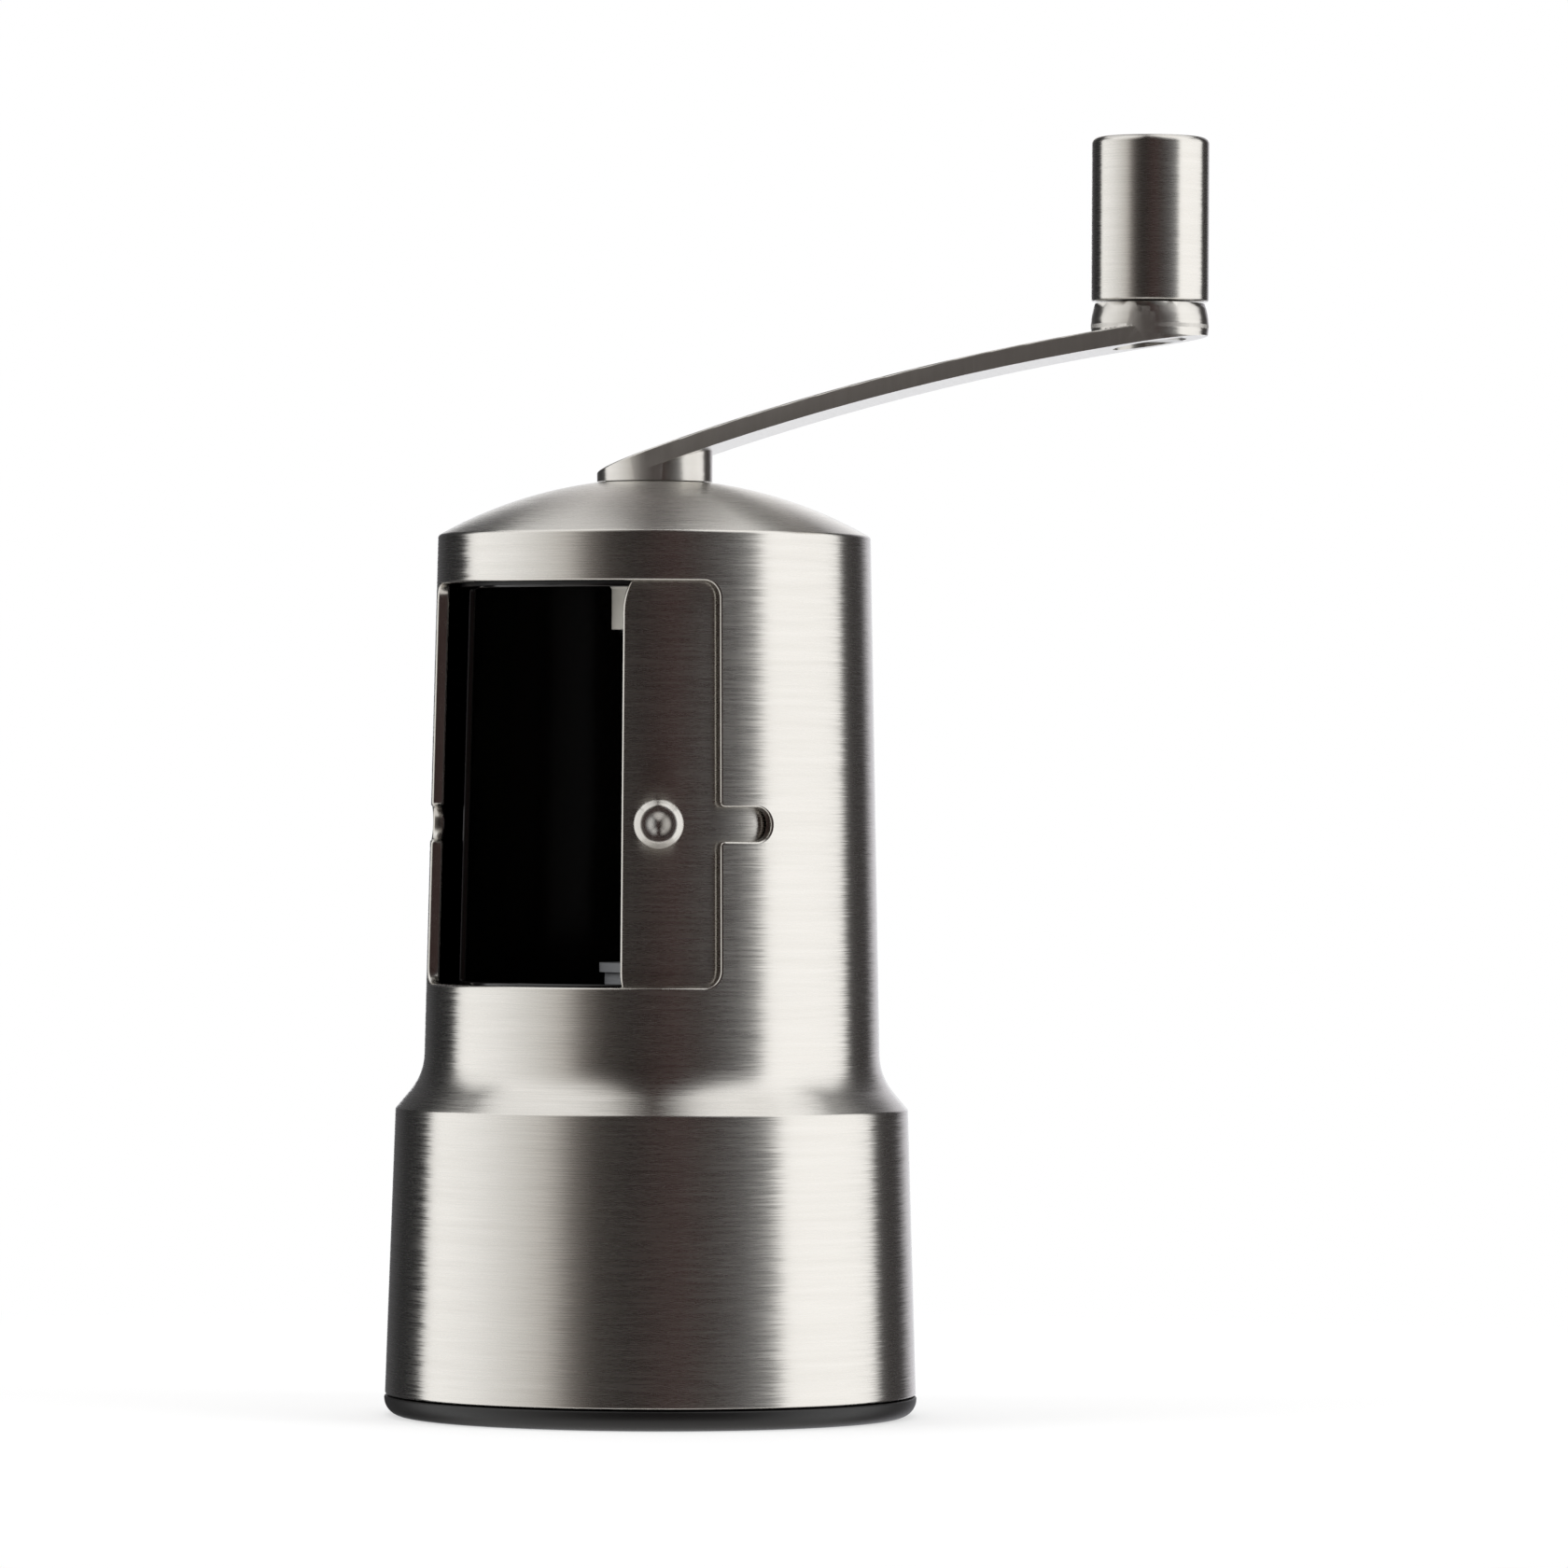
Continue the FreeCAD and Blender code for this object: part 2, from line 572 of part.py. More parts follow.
# Hopper
GROOVE_FLOOR = "(door_low_z - fit * 6)"
RAIL_HEAD = "(window_low_z - rail_cover - fit * 4)"
hopper = turned("hopper", (
    ("throat_r", "deck_z"),
    ("throat_r + 2.5", "deck_z"),
    ("throat_r + 2.5", "deck_z + 3"),
    ("throat_r + 6.5", "deck_z + 6.5"),
    ("throat_r + 6.5", "deck_z"),
    ("screw_ring_r + 3.5", "deck_z"),
    ("screw_ring_r + 3.5", "hopper_low_z"),
    (f"{skirt_inside('hopper_low_z')} - fit", "hopper_low_z"),
    (f"crease_r - wall - {WALL_DROP} / 2 - fit", f"crease_z - {WALL_DROP} - fit * 4"),
    ("grip_foot_r - wall - fit * 10", f"shoulder_z - {WALL_DROP} - fit * 4"),
    (f"{grip(GROOVE_FLOOR)} - wall - fit", GROOVE_FLOOR),
    (rail_face(GROOVE_FLOOR), GROOVE_FLOOR),
    (rail_face(RAIL_HEAD), RAIL_HEAD),
    (f"{rail_face(RAIL_HEAD)} - rail_lip", RAIL_HEAD),
    (f"{rail_face('liner_seat_z')} - rail_lip", "liner_seat_z"),
    (f"{rail_face('liner_seat_z')} - rail_lip - liner_wall - fit * 2", "liner_seat_z"),
    ("throat_r", "throat_z"),
))
pilot = flat_sketch(hopper, "deck_z")
ring(pilot, "screw_ring_r", "0", "screw_r + fit")
spread(hopper, pocket(hopper, pilot, "screw_high_z - deck_z + fit"), 3)

# Crank, shaft and knob
crank = new_body("crank_arm")
ARM_LEFT = "(-1 * hub_r - 1)"
ARM_RIGHT = "(crank_reach + hub_r + 1)"
BOSS_LEFT = "(crank_reach - hub_r - 1)"


def cut_above(left, right):
    """Cut the crank away above the top of the bar."""
    sketch = new_sketch(crank, "XZ_Plane")
    outline(sketch, (
        (left, arm(left, "0"), "arm_bow_r"),
        (right, arm(right, "0")),
        (right, "knob_high_z"),
        (left, "knob_high_z"),
    ))
    pocket_through(crank, sketch)


def cut_below(left, right):
    """Cut the crank away under the bar."""
    sketch = new_sketch(crank, "XZ_Plane")
    outline(sketch, (
        (left, "rim_z"),
        (right, "rim_z"),
        (right, arm(right, "arm_depth"), "arm_bow_r - arm_depth", "left"),
        (left, arm(left, "arm_depth")),
    ))
    pocket_through(crank, sketch)


bar_plan = flat_sketch(crank, "hub_low_z")
box(bar_plan, "0", "crank_reach", "-1 * hub_r", "hub_r")
pad(crank, bar_plan, "boss_high_z - hub_low_z")
for end_x in ("0", "crank_reach"):
    end_plan = flat_sketch(crank, "hub_low_z")
    ring(end_plan, end_x, "0", "hub_r")
    pad(crank, end_plan, "boss_high_z - hub_low_z")
cut_below(ARM_LEFT, ARM_RIGHT)
hub_plan = flat_sketch(crank, "hub_low_z")
ring(hub_plan, "0", "0", "hub_r")
pad(crank, hub_plan, f"{arm('hub_r', '0')} - hub_low_z")
cut_above(ARM_LEFT, ARM_RIGHT)


BOSS_FOOT = arm("crank_reach - hub_r", "arm_depth")
BOSS_WAIST = arm("crank_reach + hub_r", "arm_depth")
revolve(crank, (
    ("0", BOSS_FOOT),
    ("hub_r", BOSS_FOOT),
    ("hub_r", BOSS_WAIST, "boss_bow_r", "left"),
    ("boss_high_r", "boss_high_z"),
    ("0", "boss_high_z"),
), axis_x="crank_reach")
cut_below(BOSS_LEFT, ARM_RIGHT)
RECESS_ROOF = f"({arm('crank_reach', 'arm_depth')} + recess_depth)"
socket = flat_sketch(crank, "hub_low_z")
ring(socket, "0", "0", "spigot_r + fit / 2")
pocket(crank, socket, "spigot_height + fit * 2")
axle_hole = flat_sketch(crank, "hub_low_z")
ring(axle_hole, "crank_reach", "0", "axle_r + fit / 2")
pocket(crank, axle_hole, "knob_high_z - hub_low_z")
recess = flat_sketch(crank, "hub_low_z")
ring(recess, "crank_reach", "0", "recess_r")
pocket(crank, recess, f"{RECESS_ROOF} - hub_low_z")


def bar_top_edge(edge):
    return edge.Length > value("crank_reach") * 0.95


rounded(crank, "edge_break", bar_top_edge)
turn_to(crank, "crank_angle")

SQUARE_HIGH = "(spider_low_z + 1.3)"
SQUARE_LOW = "(cone_low_z + 1)"
CLIP_HIGH = "(bush_low_z - fit * 4)"
CLIP_LOW = f"({CLIP_HIGH} - clip_height)"
shaft = turned("drive_shaft", (
    ("0", "shaft_foot_z"),
    ("shaft_thread_r", "shaft_foot_z"),
    ("shaft_thread_r", SQUARE_HIGH),
    ("shaft_r", SQUARE_HIGH),
    ("shaft_r", f"{CLIP_LOW} - fit"),
    ("shaft_r - clip_groove", f"{CLIP_LOW} - fit"),
    ("shaft_r - clip_groove", f"{CLIP_HIGH} + fit"),
    ("shaft_r", f"{CLIP_HIGH} + fit"),
    ("shaft_r", "hub_low_z"),
    ("spigot_r", "hub_low_z"),
    ("spigot_r", "hub_low_z + spigot_height"),
    ("0", "hub_low_z + spigot_height"),
))
square = flat_sketch(shaft, SQUARE_LOW)
box(square, "shaft_square / -2", "shaft_square / 2", "shaft_square / -2", "shaft_square / 2")
pad(shaft, square, f"{SQUARE_HIGH} - {SQUARE_LOW} + 1")
turn_to(shaft, "crank_angle")

clip = turned("shaft_clip", (
    ("shaft_r - clip_groove + fit", CLIP_LOW),
    ("clip_r", CLIP_LOW),
    ("clip_r", CLIP_HIGH),
    ("shaft_r - clip_groove + fit", CLIP_HIGH),
))
mouth = flat_sketch(clip, CLIP_LOW)
box(mouth, "0", "clip_r * 2", "clip_r * -0.5", "clip_r * 0.5")
pocket(clip, mouth, "clip_height * 2")
turn_to(clip, "crank_angle")

BUSH_SHOULDER = "(hub_low_z - 4.5)"
BUSH_SEAT = f"({dome('bush_flange_r', 'wall')} - fit)"
turned("top_bush", (
    ("shaft_r + run_fit", "bush_low_z"),
    ("bush_r", "bush_low_z"),
    ("bush_r", "window_high_z - 0.6"),
    ("bush_collar_r", "window_high_z + 0.4"),
    ("bush_collar_r", BUSH_SHOULDER),
    ("bush_flange_r", BUSH_SHOULDER),
    ("bush_flange_r", BUSH_SEAT),
    ("dome_hole_r - fit", BUSH_SEAT),
    ("dome_hole_r - fit", "hub_low_z - fit"),
    ("shaft_r + run_fit", "hub_low_z - fit"),
))

KNOB_CLIP_HIGH = "(axle_high_z - 0.75)"
KNOB_CLIP_LOW = f"({KNOB_CLIP_HIGH} - clip_height)"
KNOB_BUSH_HIGH = f"({KNOB_CLIP_LOW} - fit * 2)"


def at_knob(name, corners):
    body = turned(name, corners, axis_x="crank_reach")
    turn_to(body, "crank_angle")
    return body


at_knob("knob_axle", (
    ("0", f"{RECESS_ROOF} - fit - 1.3"),
    ("recess_r - 0.5", f"{RECESS_ROOF} - fit - 1.3"),
    ("recess_r - 0.5", f"{RECESS_ROOF} - fit"),
    ("axle_r", f"{RECESS_ROOF} - fit"),
    ("axle_r", f"{KNOB_CLIP_LOW} - fit"),
    ("axle_r - clip_groove", f"{KNOB_CLIP_LOW} - fit"),
    ("axle_r - clip_groove", f"{KNOB_CLIP_HIGH} + fit"),
    ("axle_r", f"{KNOB_CLIP_HIGH} + fit"),
    ("axle_r", "axle_high_z"),
    ("0", "axle_high_z"),
))
at_knob("knob_clip", (
    ("axle_r - clip_groove + fit", KNOB_CLIP_LOW),
    ("knob_bore_r - fit * 6", KNOB_CLIP_LOW),
    ("knob_bore_r - fit * 6", KNOB_CLIP_HIGH),
    ("axle_r - clip_groove + fit", KNOB_CLIP_HIGH),
))
at_knob("knob_bush", (
    ("axle_r + run_fit", "boss_high_z + fit"),
    ("knob_bore_r - fit / 2", "boss_high_z + fit"),
    ("knob_bore_r - fit / 2", KNOB_BUSH_HIGH),
    ("axle_r + run_fit", KNOB_BUSH_HIGH),
))
knob = at_knob("crank_knob", (
    ("knob_bore_r", "knob_low_z"),
    ("knob_r", "knob_low_z"),
    ("knob_r", "knob_high_z"),
    ("0", "knob_high_z"),
    ("0", "axle_high_z + 1"),
    ("knob_bore_r", "axle_high_z + 1"),
))


def knob_rim(edge):
    bounds = edge.BoundBox
    return bounds.ZLength < 0.01 and near(bounds.ZMin, value("knob_high_z"))


rounded(knob, "knob_round", knob_rim)

# Burr set
spider = turned("bearing_spider", (
    ("burr_mouth_r - 0.3", "burr_high_z + fit"),
    ("burr_r - fit * 2", "burr_high_z + fit"),
    ("burr_r - fit * 2", "deck_z - fit"),
    ("burr_mouth_r - 0.3", "deck_z - fit"),
))
arm_plan = flat_sketch(spider, "spider_low_z")
box(arm_plan, "tower_r - 0.5", "throat_r - 0.15", "spider_width / -2", "spider_width / 2")
spread(spider, pad(spider, arm_plan, "spider_arm"), 3)
revolve(spider, (
    ("tower_bore_r", "spider_low_z"),
    ("tower_r", "spider_low_z"),
    ("tower_r", "tower_high_z - tower_cap"),
    ("tower_cap_r", "tower_high_z - tower_cap"),
    ("tower_cap_r", "tower_high_z"),
    ("tower_bore_r", "tower_high_z"),
))
turned("lower_bush", (
    ("shaft_r + run_fit", "spider_low_z"),
    ("tower_bore_r - fit / 2", "spider_low_z"),
    ("tower_bore_r - fit / 2", "tower_high_z - tower_cap / 2"),
    ("shaft_r + run_fit", "tower_high_z - tower_cap / 2"),
))
WASHER_HIGH = "(spider_low_z - fit)"
WASHER_LOW = f"({WASHER_HIGH} - washer_height)"
turned("thrust_washer", (
    ("shaft_r + run_fit", WASHER_LOW),
    ("tower_r - 0.3", WASHER_LOW),
    ("tower_r - 0.3", WASHER_HIGH),
    ("shaft_r + run_fit", WASHER_HIGH),
))
HOUSING_DECK = "(deck_z - fit)"
FLANGE_LOW = "(hopper_low_z + fit)"
housing = turned("burr_housing", (
    ("burr_mouth_r", "housing_low_z"),
    ("housing_r", "housing_low_z"),
    ("housing_r", FLANGE_LOW),
    ("screw_ring_r + 3.1", FLANGE_LOW),
    ("screw_ring_r + 3.1", HOUSING_DECK),
    ("burr_r + fit", HOUSING_DECK),
    ("burr_r + fit", "burr_low_z"),
    ("burr_mouth_r", "burr_low_z"),
))
clearance = flat_sketch(housing, "housing_low_z")
ring(clearance, "screw_ring_r", "0", "screw_r + fit * 4")
spread(housing, pocket(housing, clearance, "deck_z - housing_low_z"), 3)
for number in range(3):
    screw = turned(f"housing_screw_{number + 1}", (
        ("0", f"{FLANGE_LOW} - fit / 2 - screw_head_height"),
        ("screw_head_r", f"{FLANGE_LOW} - fit / 2 - screw_head_height"),
        ("screw_head_r", f"{FLANGE_LOW} - fit / 2"),
        ("screw_r", f"{FLANGE_LOW} - fit / 2"),
        ("screw_r", "screw_high_z"),
        ("0", "screw_high_z"),
    ), axis_x="screw_ring_r")
    turn_to(screw, f"{number} * 120")

outer_burr = turned("outer_burr", (
    ("burr_exit_r", "burr_low_z + fit / 2"),
    ("burr_r", "burr_low_z + fit / 2"),
    ("burr_r", "burr_high_z"),
    ("burr_mouth_r", "burr_high_z"),
    ("burr_waist_r", "burr_waist_z"),
))
tooth = flat_sketch(outer_burr, "burr_low_z")
box(tooth, "burr_waist_r * 0.8", "burr_exit_r + groove_width * 0.7", "groove_width / -2", "groove_width / 2")
spread(outer_burr, pocket(outer_burr, tooth, "burr_high_z - burr_low_z + 1"), 24)

inner_burr = turned("inner_burr", (
    ("core_r", "cone_low_z"),
    ("cone_low_r", "cone_low_z"),
    ("cone_waist_r", "burr_waist_z + 0.5"),
    ("cone_high_r", "cone_high_z"),
    ("core_r", "cone_high_z"),
))
flute = flat_sketch(inner_burr, "cone_low_z")
box(flute, "cone_waist_r - groove_width * 1.4", "cone_low_r * 1.2", "groove_width / -2", "groove_width / 2")
spread(inner_burr, pocket(inner_burr, flute, "cone_high_z - cone_low_z + 1"), 12)
turn_to(inner_burr, "crank_angle")

core = turned("burr_core", (
    ("0", "cone_low_z"),
    ("core_r - fit / 2", "cone_low_z"),
    ("core_r - fit / 2", "cone_high_z"),
    ("spring_r + spring_wire_r * 1.6", "cone_high_z"),
    ("spring_r + spring_wire_r * 1.6", "spring_low_z"),
    ("0", "spring_low_z"),
))
drive_hole = flat_sketch(core, "cone_low_z")
HALF_DRIVE = "(shaft_square / 2 + run_fit)"
box(drive_hole, f"-1 * {HALF_DRIVE}", HALF_DRIVE, f"-1 * {HALF_DRIVE}", HALF_DRIVE)
pocket(core, drive_hole, "cone_high_z - cone_low_z")
turn_to(core, "crank_angle")

nut = turned("adjuster_nut", (
    ("shaft_thread_r + run_fit", "nut_low_z"),
    ("nut_r / 2", "nut_low_z"),
    ("nut_r / 2", "nut_wheel_z"),
    ("nut_r", "nut_wheel_z"),
    ("nut_r", "cone_low_z - fit"),
    ("shaft_thread_r + run_fit", "cone_low_z - fit"),
))
scallop = flat_sketch(nut, "nut_wheel_z")
ring(scallop, "nut_r + nut_scallop_r / 2", "0", "nut_scallop_r")
spread(nut, pocket(nut, scallop, "cone_low_z - nut_wheel_z"), 6)

# Spring, swept along a helix
SPRING_LOW = "(spring_low_z + spring_wire_r + fit)"
SPRING_HIGH = f"({WASHER_LOW} - spring_wire_r - fit)"
helix = doc.addObject("Part::Helix", "spring_path")
helix.SegmentLength = 1
bind(helix, "Radius", "spring_r")
bind(helix, "Height", f"{SPRING_HIGH} - {SPRING_LOW}")
bind(helix, "Pitch", f"({SPRING_HIGH} - {SPRING_LOW}) / spring_turns")
bind(helix, "Placement.Base.z", SPRING_LOW)
wire = doc.addObject("Part::Circle", "spring_wire")
bind(wire, "Radius", "spring_wire_r")
wire.Placement = FreeCAD.Placement(
    FreeCAD.Vector(), FreeCAD.Rotation(FreeCAD.Vector(1, 0, 0), 90))
bind(wire, "Placement.Base.x", "spring_r")
bind(wire, "Placement.Base.z", SPRING_LOW)
spring = doc.addObject("Part::Sweep", "burr_spring")
spring.Sections = [wire]
spring.Solid = True
spring.Frenet = True
doc.recompute()
spring.Spine = (helix, [f"Edge{n}" for n in range(1, len(helix.Shape.Edges) + 1)])

# Lid
lid = turned("base_lid", (
    ("0", "0"),
    ("lid_r", "0"),
    ("lid_r", "lid_high_z"),
    ("plug_r", "lid_high_z"),
    ("plug_r", "seal_z - seal_r - fit * 2"),
    ("plug_r - seal_r * 1.5", "seal_z - seal_r - fit * 2"),
    ("plug_r - seal_r * 1.5", "seal_z + seal_r + fit * 2"),
    ("plug_r", "seal_z + seal_r + fit * 2"),
    ("plug_r", "plug_high_z"),
    ("plug_r - plug_wall", "plug_high_z"),
    ("plug_r - plug_wall", "lid_floor"),
    ("0", "lid_floor"),
))
rounded(lid, "lid_round", circle_at("lid_r", "0"))
seal = new_body("lid_seal")
seal_section = new_sketch(seal, "XZ_Plane")
ring(seal_section, "plug_r - seal_r / 2 + fit", "seal_z", "seal_r")
seal_turn = feature(seal, "Revolution", seal_section)
seal_turn.ReferenceAxis = (seal_section, ["V_Axis"])
seal_turn.Angle = 360

doc.recompute()
for item in doc.Objects:
    if "Invalid" in item.State or "Error" in item.State:
        raise RuntimeError(f"{item.Label} could not be built")
pieces = [item for item in doc.Objects if item.TypeId == "PartDesign::Body"] + [spring]
os.makedirs("parts", exist_ok=True)
for piece in pieces:
    if piece.Shape.isNull() or not piece.Shape.isValid():
        raise RuntimeError(f"{piece.Label} has no sound shape")
    piece.Shape.exportStep(f"parts/{piece.Label}.step")
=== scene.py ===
import cmath
import math

import bmesh
import bpy
from mathutils import Matrix, Vector
from mathutils.geometry import delaunay_2d_cdt


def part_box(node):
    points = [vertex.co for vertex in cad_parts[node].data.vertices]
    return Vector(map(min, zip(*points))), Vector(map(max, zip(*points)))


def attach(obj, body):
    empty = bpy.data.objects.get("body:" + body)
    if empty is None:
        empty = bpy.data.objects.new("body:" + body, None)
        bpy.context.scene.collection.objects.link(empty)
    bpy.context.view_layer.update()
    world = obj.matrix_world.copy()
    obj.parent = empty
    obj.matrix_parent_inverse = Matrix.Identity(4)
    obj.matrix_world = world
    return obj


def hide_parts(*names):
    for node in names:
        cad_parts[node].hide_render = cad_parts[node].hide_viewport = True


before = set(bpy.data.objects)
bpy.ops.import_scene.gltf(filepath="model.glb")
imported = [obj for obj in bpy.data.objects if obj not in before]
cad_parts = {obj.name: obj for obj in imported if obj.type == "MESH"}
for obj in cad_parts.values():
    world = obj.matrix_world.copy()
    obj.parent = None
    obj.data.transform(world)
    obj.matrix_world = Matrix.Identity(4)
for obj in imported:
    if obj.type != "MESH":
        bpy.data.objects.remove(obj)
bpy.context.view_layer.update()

MM = 0.001

# Sizes of the visible pieces, in millimetres and degrees, as in the CAD solids
WALL = 1.8
FOOT_R, FOOT_Z = 40.0, 3.3
CREASE_R, CREASE_Z = 38.6, 46.2
GRIP_R, SHOULDER_Z, SHOULDER_ROUND = 34.35, 51.3, 9
RIM_R, RIM_Z = 32.6, 132.4
DOME_RISE, DOME_HOLE_R = 8.7, 7.5
WINDOW_FACING, WINDOW_HALF = -90, 50
WINDOW_LOW, WINDOW_HIGH, WINDOW_CORNER = 65, 125, 2.5
NOTCH_Z, NOTCH_HALF, NOTCH_REACH, NOTCH_CORNER = 89.1, 2.5, 14.2, 0.8
DOOR_INSET, DOOR_PLATE = WALL + 0.4, 1.0
DOOR_START, DOOR_ANGLE = -66, 138
DOOR_LOW, DOOR_HIGH, DOOR_CORNER = 58, 129.5, 9
BUTTON_TURN, BUTTON_R, BUTTON_STEM_R, BUTTON_SCREW_R = -56, 3.7, 2.3, 1.25
BUTTON_CLEAR, BUTTON_HEAD, STEM_SEAT = 0.45, 2.6, 0.05
CRANK_TURN, CRANK_REACH, CRANK_HALF = 24.2, 74.8, 8.7
KNOB_R, KNOB_LOW, KNOB_HIGH = 8.8, 167.6, 192.2
KNOB_BORE_R, KNOB_BORE_HIGH = 4.2, 188
LID_R, LID_HIGH, LID_FLOOR = 40.1, 3.05, 2.4
PLUG_R, PLUG_BORE_R, PLUG_HIGH = 37.65, 35.45, 11
GROOVE_R, GROOVE_LOW, GROOVE_HIGH = 36.6, 5.7, 7.3
SCREW_HEAD_R, SCREW_HEAD, SCREW_R = 2.8, 2.0, 1.4

CAMERA_TURN = math.radians(31.9)

# In millimetres: points nearer than the first are merged as a piece is turned, and nearer
# than the second when it is tidied. Edges shorter than the third go.
TURN_MERGE, TIDY_MERGE, SLIVER = 0.0005, 0.0008, 0.0002
# A hair's breadth, for what counts as level or as meeting
HAIR = 0.01


def srgb(code):
    """An sRGB hex colour as linear RGBA."""
    parts = [int(code[n:n + 2], 16) / 255 for n in (1, 3, 5)]
    return [c / 12.92 if c <= 0.04045 else ((c + 0.055) / 1.055) ** 2.4 for c in parts] + [1]


def add(tree, kind, inputs=None, **settings):
    """One node with its settings, and its inputs as numbers or as links."""
    item = tree.nodes.new(kind)
    for name, setting in settings.items():
        setattr(item, name, setting)
    for socket, given in (inputs or {}).items():
        if isinstance(given, bpy.types.NodeSocket):
            tree.links.new(given, item.inputs[socket])
        else:
            item.inputs[socket].default_value = given
    return item


def new_material(name, **sockets):
    """A material with one Principled shader and those plain socket values."""
    made = bpy.data.materials.new(name)
    made.use_nodes = True
    shader = made.node_tree.nodes["Principled BSDF"]
    for socket, given in sockets.items():
        shader.inputs[socket.replace("_", " ")].default_value = given
    return made, made.node_tree, shader


def stainless(name, frame_of=None, rough=0.27, grain=0.2, stroke=8, lean=0.11, bite=1.0):
    """Brushed stainless steel, a slightly warm grey. Fine scratches run round the piece's
    own axis, or where its map lays them. They stretch each reflection square to them and
    tilt a little each way, so a soft box shows as a long band with a frayed edge."""
    made, tree, shader = new_material(name, Metallic=1.0, Anisotropic=0.88, Anisotropic_Rotation=0.25)
    place = add(tree, "ShaderNodeTexCoord")
    if frame_of is None:
        brush = place.outputs["UV"]
        order = (stroke * MM, grain * MM, 1)
    else:
        local = add(tree, "ShaderNodeMapping", {
            "Vector": place.outputs["Object"], "Location": frame_of.to_translation(),
            "Rotation": frame_of.to_euler()}, vector_type="TEXTURE")
        split = add(tree, "ShaderNodeSeparateXYZ", {"Vector": local.outputs["Vector"]})
        flat_spot = add(tree, "ShaderNodeCombineXYZ", {"X": split.outputs["X"], "Y": split.outputs["Y"]})
        radius = add(tree, "ShaderNodeVectorMath", {0: flat_spot.outputs["Vector"]}, operation="LENGTH")
        along = add(tree, "ShaderNodeMath", {
            0: split.outputs["Z"], 1: radius.outputs["Value"]}, operation="SUBTRACT")
        brush = add(tree, "ShaderNodeCombineXYZ", {
            "X": split.outputs["X"], "Y": split.outputs["Y"], "Z": along.outputs["Value"]}).outputs["Vector"]
        order = (stroke * MM, stroke * MM, grain * MM)
    # Real scratches are about 0.05 mm wide. They are drawn wider so that they show.
    streaks = add(tree, "ShaderNodeVectorMath", {
        0: brush, 1: [1 / size for size in order]}, operation="MULTIPLY").outputs["Vector"]
    fine = add(tree, "ShaderNodeTexNoise", {
        "Vector": streaks, "Scale": 1.0, "Detail": 3.0, "Roughness": 0.65}).outputs["Fac"]
    broad = add(tree, "ShaderNodeTexNoise", {"Vector": streaks, "Scale": 0.2, "Detail": 2.0}).outputs["Fac"]
    tint = add(tree, "ShaderNodeMix", {
        "Factor": broad, "A": srgb("#D3D0CA"), "B": srgb("#E0DDD8")}, data_type="RGBA")
    gloss = add(tree, "ShaderNodeMapRange", {
        "Value": fine, "From Min": 0.3, "From Max": 0.7,
        "To Min": rough - 0.05 * bite, "To Max": rough + 0.07 * bite})
    with_marks = add(tree, "ShaderNodeTangent", direction_type="UV_MAP", uv_map="brushing").outputs["Tangent"]
    tilt = add(tree, "ShaderNodeMapRange", {
        "Value": fine, "To Min": -lean / 2, "To Max": lean / 2}).outputs["Result"]
    aside = add(tree, "ShaderNodeVectorMath", {0: with_marks, "Scale": tilt}, operation="SCALE")
    tilted = add(tree, "ShaderNodeVectorMath", {
        0: add(tree, "ShaderNodeNewGeometry").outputs["Normal"], 1: aside.outputs["Vector"]}, operation="ADD")
    facing = add(tree, "ShaderNodeVectorMath", {0: tilted.outputs["Vector"]}, operation="NORMALIZE")
    bump = add(tree, "ShaderNodeBump", {
        "Height": fine, "Strength": 0.3 * bite, "Distance": 0.012 * MM, "Normal": facing.outputs["Vector"]})
    tree.links.new(tint.outputs["Result"], shader.inputs["Base Color"])
    tree.links.new(gloss.outputs["Result"], shader.inputs["Roughness"])
    tree.links.new(bump.outputs["Normal"], shader.inputs["Normal"])
    tree.links.new(with_marks, shader.inputs["Tangent"])
    return made


def plain_steel(name, code, rough):
    """Turned, drawn or cut steel: bright, with a light oily mottle about 2 mm across."""
    made, tree, shader = new_material(name, Metallic=1.0)
    mottle = add(tree, "ShaderNodeTexNoise", {
        "Vector": add(tree, "ShaderNodeTexCoord").outputs["Object"], "Scale": 1 / (2 * MM), "Detail": 3.0})
    tint = add(tree, "ShaderNodeHueSaturation", {
        "Color": srgb(code),
        "Value": add(tree, "ShaderNodeMapRange", {
            "Value": mottle.outputs["Fac"], "To Min": 0.9, "To Max": 1.06}).outputs["Result"]})
    gloss = add(tree, "ShaderNodeMapRange", {
        "Value": mottle.outputs["Fac"], "To Min": rough - 0.06, "To Max": rough + 0.08})
    tree.links.new(tint.outputs["Color"], shader.inputs["Base Color"])
    tree.links.new(gloss.outputs["Result"], shader.inputs["Roughness"])
    return made


